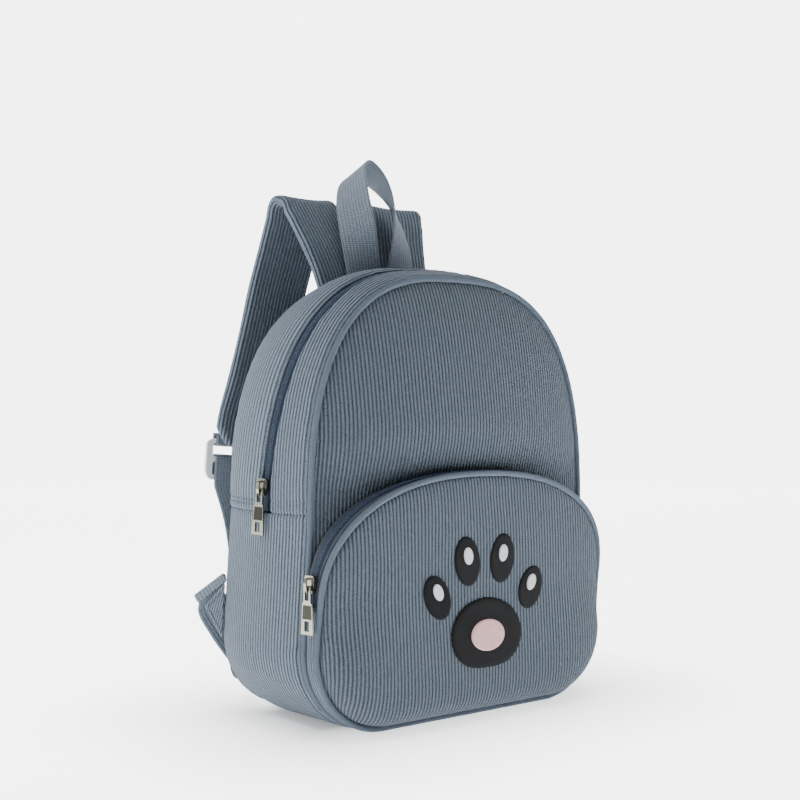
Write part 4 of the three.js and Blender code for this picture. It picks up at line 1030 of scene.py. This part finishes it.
def build_strap(side, label):
    count = 260
    line = strap_line(count)
    ahead = unit(np.gradient(line, axis=0))
    share = np.linspace(0, 1, count)
    turn = math.tan(math.radians(STRAP_TURN))
    level = np.stack([np.ones(count), -turn * smooth(share), np.zeros(count)], -1)
    cross = unit(level - ahead * (ahead * level).sum(-1, keepdims=True))
    cross[0] = (1, 0, 0)
    taper = np.where(share > 0.5, clamp(np.linalg.norm(line - line[-1], axis=1) / STRAP_TAPER), 1.0)
    width = mix(STRAP_END_WIDTH, STRAP_WIDTH, taper) / 2
    thick = STRAP_THICKNESS / 2 * mix(STRAP_END_SHARE, 1, taper)
    middles, crosses = line * [side, 1, 1], cross * [1, side, side]

    def crown(points, across, half):
        soft = 0.35 * waves(points[:, None, :] + across[..., None] * 0.5, 28, 41)
        pad = -0.9 * clamp(1 - (half - np.abs(across)) / 4.0)
        return soft * clamp((half - np.abs(across)) / 6) + pad

    def settle(grid):
        fixed = grid.copy()
        fixed[0, :, 2] = bag.top_at(fixed[0, :, 0]) + SEAM_GAP
        return fixed

    obj = ribbon(f"strap_{label}", middles, crosses, width - 0.2, thick, 44, strap_cloth, "panel_cloth",
                 f"shoulder_strap_{label}", 3.2, settle, crown)


def buckle_axes():
    end = strap_line(STRAP_STEPS + 1)[-1]
    up = unit(np.array([-0.08, 0.02, 1.0]))
    across = unit(np.array([1.0, 0, 0]) - up * up[0])
    back = unit(np.cross(up, across))
    leg = BUCKLE_THICKNESS / 2 + BAR_CLEARANCE + WEBBING / 2
    behind = STRAP_THICKNESS / 2 + LOOP_GAP + WEBBING / 2 + leg
    centre = end + up * (BUCKLE_OVERLAP - BUCKLE_HEIGHT / 2) + back * behind
    centre[0] += BUCKLE_SHIFT
    return centre, across, up, back, leg


def in_buckle(across, up, back):
    centre, a, u, b, _ = buckle_axes()
    return centre + a * across + u * up + b * back


def half_turn(bar_up, upward, count):
    leg = buckle_axes()[4]
    reach = BUCKLE_BAR / 2 + BAR_CLEARANCE + WEBBING / 2
    share = np.linspace(0, 1, count + 1)
    rise = np.sin(math.pi * share).clip(0) ** 0.5
    side = np.cos(math.pi * share)
    offset = -leg * np.sign(side) * np.abs(side) ** 0.5
    return [in_buckle(0, bar_up + upward * reach * r, o) for r, o in zip(rise, offset)]


def densify(points, crosses, count):
    """The same route at evenly spaced points, with its corners lightly rounded."""
    points, crosses = np.asarray(points), np.asarray(crosses)
    s = run_of(points)
    t = np.linspace(0, s[-1], count)
    line, turn = read_at(t, s, points), read_at(t, s, crosses)
    kernel = np.array([1, 2, 3, 2, 1]) / 9
    for table in (line, turn):
        for k in range(3):
            padded_line = np.pad(table[:, k], 2, mode="edge")
            table[2:-2, k] = np.convolve(padded_line, kernel, "valid")[2:-2]
    return line, unit(turn)


def webbing_ribbon(name, node, line, turn, side):
    ribbon(name, line * [side, 1, 1], turn * [1, side, side], WEBBING_WIDTH / 2, WEBBING / 2, 24,
           webbing_weave, "webbing", node, 1.0)


def build_strap_loop(side, label):
    bar_up = BUCKLE_HEIGHT / 2 - BUCKLE_BAR / 2
    top = BUCKLE_HEIGHT / 2 + LOOP_RISE
    leg = buckle_axes()[4]
    points = [in_buckle(0, top, -leg), *half_turn(bar_up, -1, 8), in_buckle(0, top, leg)]
    cross = [buckle_axes()[1]] * len(points)
    line, turn = densify(points, cross, 90)
    webbing_ribbon(f"buckle_loop_{label}", f"strap_loop_{label}", line, turn, side)


def tab_points():
    tip = np.array([BASE_HALF + TAB_REACH, BAG_DEPTH / 2 + TAB_BACK, TAB_TIP])

    def corner(height):
        x, _, _, _ = bag.at(np.array(bag.length_at(height)))
        return np.array([float(x) + SEAM_GAP, BAG_DEPTH / 2 + 1.2, height])

    return tip, corner(TAB_TOP), corner(TAB_BOTTOM)


# Columns: out, back and up as shares of the base's half, the reach and the tab tip's height,
# turn and tilt in degrees.
SLACK_ROUTE = [
    (0.995, 0.48, 1.04, 175, 42), (0.912, 0.52, 0.8, 180, 38), (0.818, 0.55, 0.58, 184, 34),
    (0.732, 0.58, 0.4, 184, 26), (0.69, 0.64, 0.28, 182, 14), (0.682, 0.76, 0.215, 180, 5),
    (0.681, 0.92, 0.25, 180, 0), (0.677, 1, 0.38, 180, 0), (0.673, 1, 0.748, 180, 0),
    (0.677, 0.99, 1.293, 180, 0), (0.717, 0.99, 1.741, 180, 0)]


def build_lower_webbing(side, label):
    tip, top, bottom = tab_points()
    across = across_from(149, 37)
    back = unit(np.cross(tip - bottom, top - bottom))
    back = back if back[1] > 0 else -back
    out = unit(np.cross(across, back))
    out = out if out[0] > 0 else -out
    leave = mix(top, tip, 0.5) + out * WEBBING_LEAVE
    turn_at = leave + out
    turn = [turn_at + out * TURN_RADIUS * math.sin(math.pi * i / 6)
            + back * TURN_RADIUS * (1 - math.cos(math.pi * i / 6)) for i in range(7)]
    _, flat, _, _, leg = buckle_axes()
    rise = in_buckle(0, -BUCKLE_HEIGHT / 2 - 4, -leg)
    slack = [np.array([BASE_HALF * row[0], BAG_DEPTH / 2 + SLACK_REACH * row[1], TAB_TIP * row[2]])
             for row in SLACK_ROUTE]
    stations = [leave, *turn, *slack, rise]
    crosses = [across] * 8 + [across_from(row[3], row[4]) for row in SLACK_ROUTE] + [-flat]
    line = centripetal(stations, SLACK_STEPS + 1)
    s = run_of(stations)
    t = np.linspace(0, s[-1], SLACK_STEPS + 1)
    blended = unit(read_at(t, s, np.array(crosses)))
    over = half_turn(0, 1, 8)
    tail = in_buckle(0, -TAIL_LENGTH, leg)
    points = [*line, *over, tail]
    turns = [*blended, *([-flat] * (len(over) + 1))]
    fine, fine_cross = densify(points, turns, 360)
    webbing_ribbon(f"webbing_{label}", f"lower_webbing_{label}", fine, fine_cross, side)


def build_tab(side, label):
    """A folded triangle of ribbed cloth, stitched along its edges."""
    tip, top, bottom = tab_points()
    normal = unit(np.cross(top - bottom, tip - bottom))
    rows, columns = 26, 26
    a = np.linspace(0, 1, rows)[:, None, None]
    b = np.linspace(0, 0.97, columns)[None, :, None]
    base = mix(bottom, top, a) * (1 - b) + tip * b
    edge = np.minimum(np.minimum(a, 1 - a) * (1 - b) * 38, (1 - b) * 20)
    puff = TAB_THICKNESS / 2 * np.sqrt(1 - (1 - clamp(edge / 2.2)) ** 2 + 1e-9)
    dent = 0.35 * np.exp(-((edge - 4.5) / 0.8) ** 2)
    face = base + normal * (puff - dent)
    back = base - normal * (puff - dent)
    along = unit(top - bottom)
    outward = unit(tip - mix(bottom, top, 0.5))
    uv = np.stack([base @ outward, base @ along], -1)
    obj = closed_wall(f"tab_{label}", face * [side, 1, 1], back * [side, 1, 1], uv)
    give(obj, tab_cloth, "panel_cloth")
    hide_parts(f"corner_tab_{label}")
    middle = (tip + top + bottom) / 3
    for face_side, face_label in ((1, "a"), (-1, "b")):
        for index, (start, end) in enumerate(((bottom, tip), (tip, top))):
            line = np.linspace(mix(start, middle, 0.3), mix(end, middle, 0.3), 30)
            line = line + normal * face_side * (TAB_THICKNESS / 2 - 0.1)
            stitches(f"tab_stitch_{label}_{face_label}_{index}", line * [side, 1, 1],
                     np.broadcast_to(normal * face_side, line.shape) * [side, 1, 1], 2.6, 2.0, 0.25)


# Metal pieces


def refine_metal(node, material, bevel, segments=3):
    """Softens a metal solid's edges and gives it its finish."""
    obj = nodes[node]
    modifier = obj.modifiers.new("edges", "BEVEL")
    modifier.width = bevel * MM
    modifier.segments = segments
    modifier.limit_method = "ANGLE"
    modifier.angle_limit = math.radians(35)
    modifier.harden_normals = False
    give(obj, material)
    obj.data.polygons.foreach_set("use_smooth", [True] * len(obj.data.polygons))


def pull_plate(node):
    """A thin darker plate set in the face of a zip's pull, found from the pull's own three axes."""
    co = np.array([v.co for v in nodes[node].data.vertices]) / MM
    axes = np.linalg.svd(co - co.mean(0), full_matrices=False)[2]
    down, out = axes[0], axes[2]
    down = down if down[2] < 0 else -down
    out = out if out[0] < 0 else -out
    side = np.cross(down, out)
    top, end = (co @ down).min(), (co @ down).max()
    face = (co @ out).max()
    centre = ((co @ side).min() + (co @ side).max()) / 2
    corners = []
    for reach, half in ((top + PLATE_FROM, PLATE_TOP_HALF), (end - PLATE_TO, PLATE_END_HALF)):
        for sign in (-1, 1):
            corners.append(down * reach + side * (centre + sign * half))
    low = [c + out * (face - 0.2) for c in corners]
    high = [c + out * (face + 0.12) for c in corners]
    faces = [(0, 1, 3, 2), (4, 6, 7, 5), (0, 4, 5, 1), (2, 3, 7, 6), (0, 2, 6, 4), (1, 5, 7, 3)]
    obj = fix_normals(make_object(f"{node}_plate", low + high, faces, [(0, 0)] * 8, node, False))
    give(obj, plate_metal, "nickel")


# Embroidery


def patch(name, centre, half_width, half_height, lean, notch, lift, height, material, slot, node, slant):
    """A raised patch of satin stitch that follows the pocket's face, with a slightly ragged edge."""
    columns, rings = 160, 14
    turn = math.radians(lean)
    angle = -math.pi / 2 + np.linspace(0, 2 * math.pi, columns, endpoint=False)
    gap = np.mod(angle + math.pi / 2 + math.pi, 2 * math.pi) - math.pi
    dent = 1 - notch * np.exp(-((gap / 0.55) ** 2))
    ragged = 1 + 0.005 * np.sign(np.sin(np.arange(columns) * math.pi / 2 + 0.7))
    rx = half_width * np.cos(angle) * dent * ragged
    rz = half_height * np.sin(angle) * dent * ragged
    ox = rx * math.cos(turn) - rz * math.sin(turn)
    oz = rx * math.sin(turn) + rz * math.cos(turn)
    shares = np.linspace(1, 0.06, rings)
    x = centre[0] + shares[:, None] * ox[None, :]
    z = centre[1] + shares[:, None] * oz[None, :]
    rim = np.sqrt(1 - (1 - clamp((1 - shares) / 0.16)) ** 2 + 1e-9)[:, None]
    base = pocket_face(x, z)
    y = base - lift - height * (0.15 + 0.85 * rim)
    top = np.stack([x, y, z], -1)
    under = np.stack([x, base - lift * 0.4, z], -1)
    slope = math.radians(slant)
    vertices = np.concatenate([top.reshape(-1, 3), under.reshape(-1, 3)])
    across = x * math.cos(slope) + z * math.sin(slope)
    flat = np.stack([across, z * math.cos(slope) - x * math.sin(slope)], -1)
    uvs = np.concatenate([flat.reshape(-1, 2)] * 2)
    faces = grid_faces(rings, columns, 0, wrap=True)
    last = (rings - 1) * columns
    faces.append(tuple(last + c for c in range(columns)))
    obj = fix_normals(make_object(name, vertices, both_sides(faces, rings * columns, columns), uvs))
    give(obj, material, slot)
    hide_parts(node)


# The paw's pads as shares of its width. Columns: node, across, up, wide, tall, lean, notch.
PAW_PADS = [
    ("paw_heel_pad", 0, -0.17, 0.3, 0.235, 0, 0.12),
    ("paw_toe_outer_left", -0.4, 0.1, 0.1, 0.145, 24, 0),
    ("paw_toe_inner_left", -0.15, 0.31, 0.105, 0.16, 8, 0),
    ("paw_toe_inner_right", 0.15, 0.31, 0.105, 0.16, -8, 0),
    ("paw_toe_outer_right", 0.4, 0.1, 0.1, 0.145, -24, 0)]


def build_paw():
    upper = 2 * STITCH_LIFT + STITCH_HEIGHT
    for node, across, up, wide, tall, lean, notch in PAW_PADS:
        centre = (across * PAW_WIDTH, PAW_HEIGHT + up * PAW_WIDTH)
        patch(node.replace("paw", "stitched"), centre, wide * PAW_WIDTH, tall * PAW_WIDTH, lean, notch,
              STITCH_LIFT, STITCH_HEIGHT, black_thread, "black_thread", node, 20 + lean)
        if "toe" in node:
            glint = (centre[0], centre[1] + 0.035 * PAW_WIDTH)
            patch(node.replace("paw_toe", "stitched_centre"), glint, 0.035 * PAW_WIDTH,
                  0.055 * PAW_WIDTH, lean, 0, upper, STITCH_HEIGHT, white_thread, "white_thread",
                  node.replace("toe", "toe_centre"), 80)
    centre = (0, PAW_HEIGHT - 0.17 * PAW_WIDTH)
    patch("stitched_heel_centre", centre, 0.14 * PAW_WIDTH, 0.1 * PAW_WIDTH, 0, 0, upper,
          STITCH_HEIGHT, pink_thread, "pink_thread", "paw_heel_centre", 90)


# Stage, in metres: paper that lies under the bag and turns up behind it. It glows, so that it shows white,
# and glows less close to the bag: a painted shadow of the bag on the paper.
PAPER_FROM = -0.9
PAPER_TO = 2.2
PAPER_TURN = 1.6
PAPER_TOP = 4.0
PAPER_WIDTH = 4.6
PAPER_AHEAD = (0.6155, 0.7881, 0)
GLOW_CLOSE = 0.3
GLOW_MORE = 3.8
GLOW_REACH = 0.16
GLOW_POWER = 0.7
SHADE_HALF = (0.1, 0.03)


def build_stage():
    rows, turns = 40, 23
    profile = [(mix(PAPER_FROM, PAPER_TO, i / (rows - 1)), 0.0) for i in range(rows)]
    for i in range(1, turns + 1):
        angle = math.pi / 2 * i / turns
        profile.append((PAPER_TO + PAPER_TURN * math.sin(angle), PAPER_TURN * (1 - math.cos(angle))))
    profile.append((PAPER_TO + PAPER_TURN, PAPER_TOP))
    ahead = Vector(PAPER_AHEAD).normalized()
    side = Vector((PAPER_AHEAD[1], -PAPER_AHEAD[0], 0))
    vertices, faces = [], []
    for along, up in profile:
        for s in (-PAPER_WIDTH / 2, PAPER_WIDTH / 2):
            p = ahead * along + side * s
            vertices.append((p.x, p.y, up))
    for i in range(len(profile) - 1):
        faces.append((2 * i, 2 * i + 1, 2 * i + 3, 2 * i + 2))
    mesh = bpy.data.meshes.new("sweep")
    mesh.from_pydata(vertices, [], faces)
    mesh.polygons.foreach_set("use_smooth", [True] * len(mesh.polygons))
    floor = bpy.data.objects.new("sweep", mesh)
    bpy.context.scene.collection.objects.link(floor)
    n = Nodes("paper")
    split = n.new("ShaderNodeSeparateXYZ", {0: n.place()})
    squares = []
    # Painted shadow: the glow is weakest under and around the bag's foot, growing with the distance from
    # it.
    for output, half in zip(split.outputs, SHADE_HALF):
        beyond = n.math("MAXIMUM", n.math("SUBTRACT", n.math("ABSOLUTE", output), half), 0.0)
        squares.append(n.math("POWER", beyond, 2.0))
    away = n.math("SQRT", n.math("ADD", *squares))
    share = n.math("POWER", n.math("DIVIDE", away, GLOW_REACH, use_clamp=True), GLOW_POWER)
    n.set(Base_Color=(0.9, 0.905, 0.91), Roughness=0.95, Specular_IOR_Level=0.1,
          Emission_Color=(0.985, 0.995, 1.0),
          Emission_Strength=n.math("MULTIPLY_ADD", share, GLOW_MORE, GLOW_CLOSE))
    mesh.materials.append(n.material)


# Columns: name, place, size, power, colour. Both lights point at LIT_PLACE.
LIGHTS = [
    ("window", (-2.0, 0.4, 1.2), 1.4, 40, (1.0, 0.99, 0.97)),
    ("top", (-0.1, 0.1, 2.6), 2.2, 68, (1, 1, 1))]
LIT_PLACE = (0, 0, 0.15)
SKY_COLOUR = (0.93, 0.96, 1.0, 1.0)
SKY_STRENGTH = 0.28


def area_light(name, place, size, power, colour):
    data = bpy.data.lights.new(name, "AREA")
    data.shape = "SQUARE"
    data.size = size
    data.energy = power
    data.color = colour
    light = bpy.data.objects.new(name, data)
    light.location = place
    light.rotation_mode = "QUATERNION"
    light.rotation_quaternion = (Vector(LIT_PLACE) - Vector(place)).to_track_quat("-Z", "Y")
    bpy.context.scene.collection.objects.link(light)


def build_light():
    world = bpy.context.scene.world or bpy.data.worlds.new("studio")
    bpy.context.scene.world = world
    world.use_nodes = True
    background = world.node_tree.nodes["Background"]
    background.inputs[0].default_value = SKY_COLOUR
    background.inputs[1].default_value = SKY_STRENGTH
    for light in LIGHTS:
        area_light(*light)


# The camera, solved from the bag's outline: its place in metres and its own three axes.
CAMERA_PLACE = (-0.57985, -0.72897, 0.21353)
CAMERA_RIGHT = (0.78811, -0.61553, 0.0)
CAMERA_UP = (-0.001258, -0.001611, 0.999998)
CAMERA_AHEAD = (0.615529, 0.788112, 0.002044)
FOCAL_LENGTH_PX = 1295.2
FRAME_WIDTH_PX = 800
SENSOR_WIDTH = 36


def build_camera():
    data = bpy.data.cameras.new("camera")
    data.sensor_width = SENSOR_WIDTH
    data.sensor_fit = "HORIZONTAL"
    data.lens = FOCAL_LENGTH_PX / FRAME_WIDTH_PX * SENSOR_WIDTH
    data.clip_start = 0.05
    data.clip_end = 60
    camera = bpy.data.objects.new("camera", data)
    turn = Matrix((CAMERA_RIGHT, CAMERA_UP, -Vector(CAMERA_AHEAD))).transposed().to_4x4()
    camera.matrix_world = Matrix.Translation(CAMERA_PLACE) @ turn
    bpy.context.scene.collection.objects.link(camera)
    bpy.context.scene.camera = camera


def main():
    build_camera()
    build_gusset()
    build_panels()
    piping("front_cord", piping_line, lambda z: FRONT_SEAM + 0 * z, "front_piping")
    piping("pocket_cord", pocket, pocket_edge, "pocket_piping")
    build_main_zip()
    build_pocket_zip()
    build_handle()
    for side, label in ((1, "right"), (-1, "left")):
        build_strap(side, label)
        build_strap_loop(side, label)
        build_lower_webbing(side, label)
        build_tab(side, label)
        refine_metal(f"buckle_{label}", buckle_metal, 0.7)
    for name in ("main", "pocket"):
        refine_metal(f"{name}_slider", nickel, 0.35)
        refine_metal(f"{name}_pull", nickel, 0.22, 2)
        pull_plate(f"{name}_pull")
    build_paw()
    build_stage()
    build_light()


main()
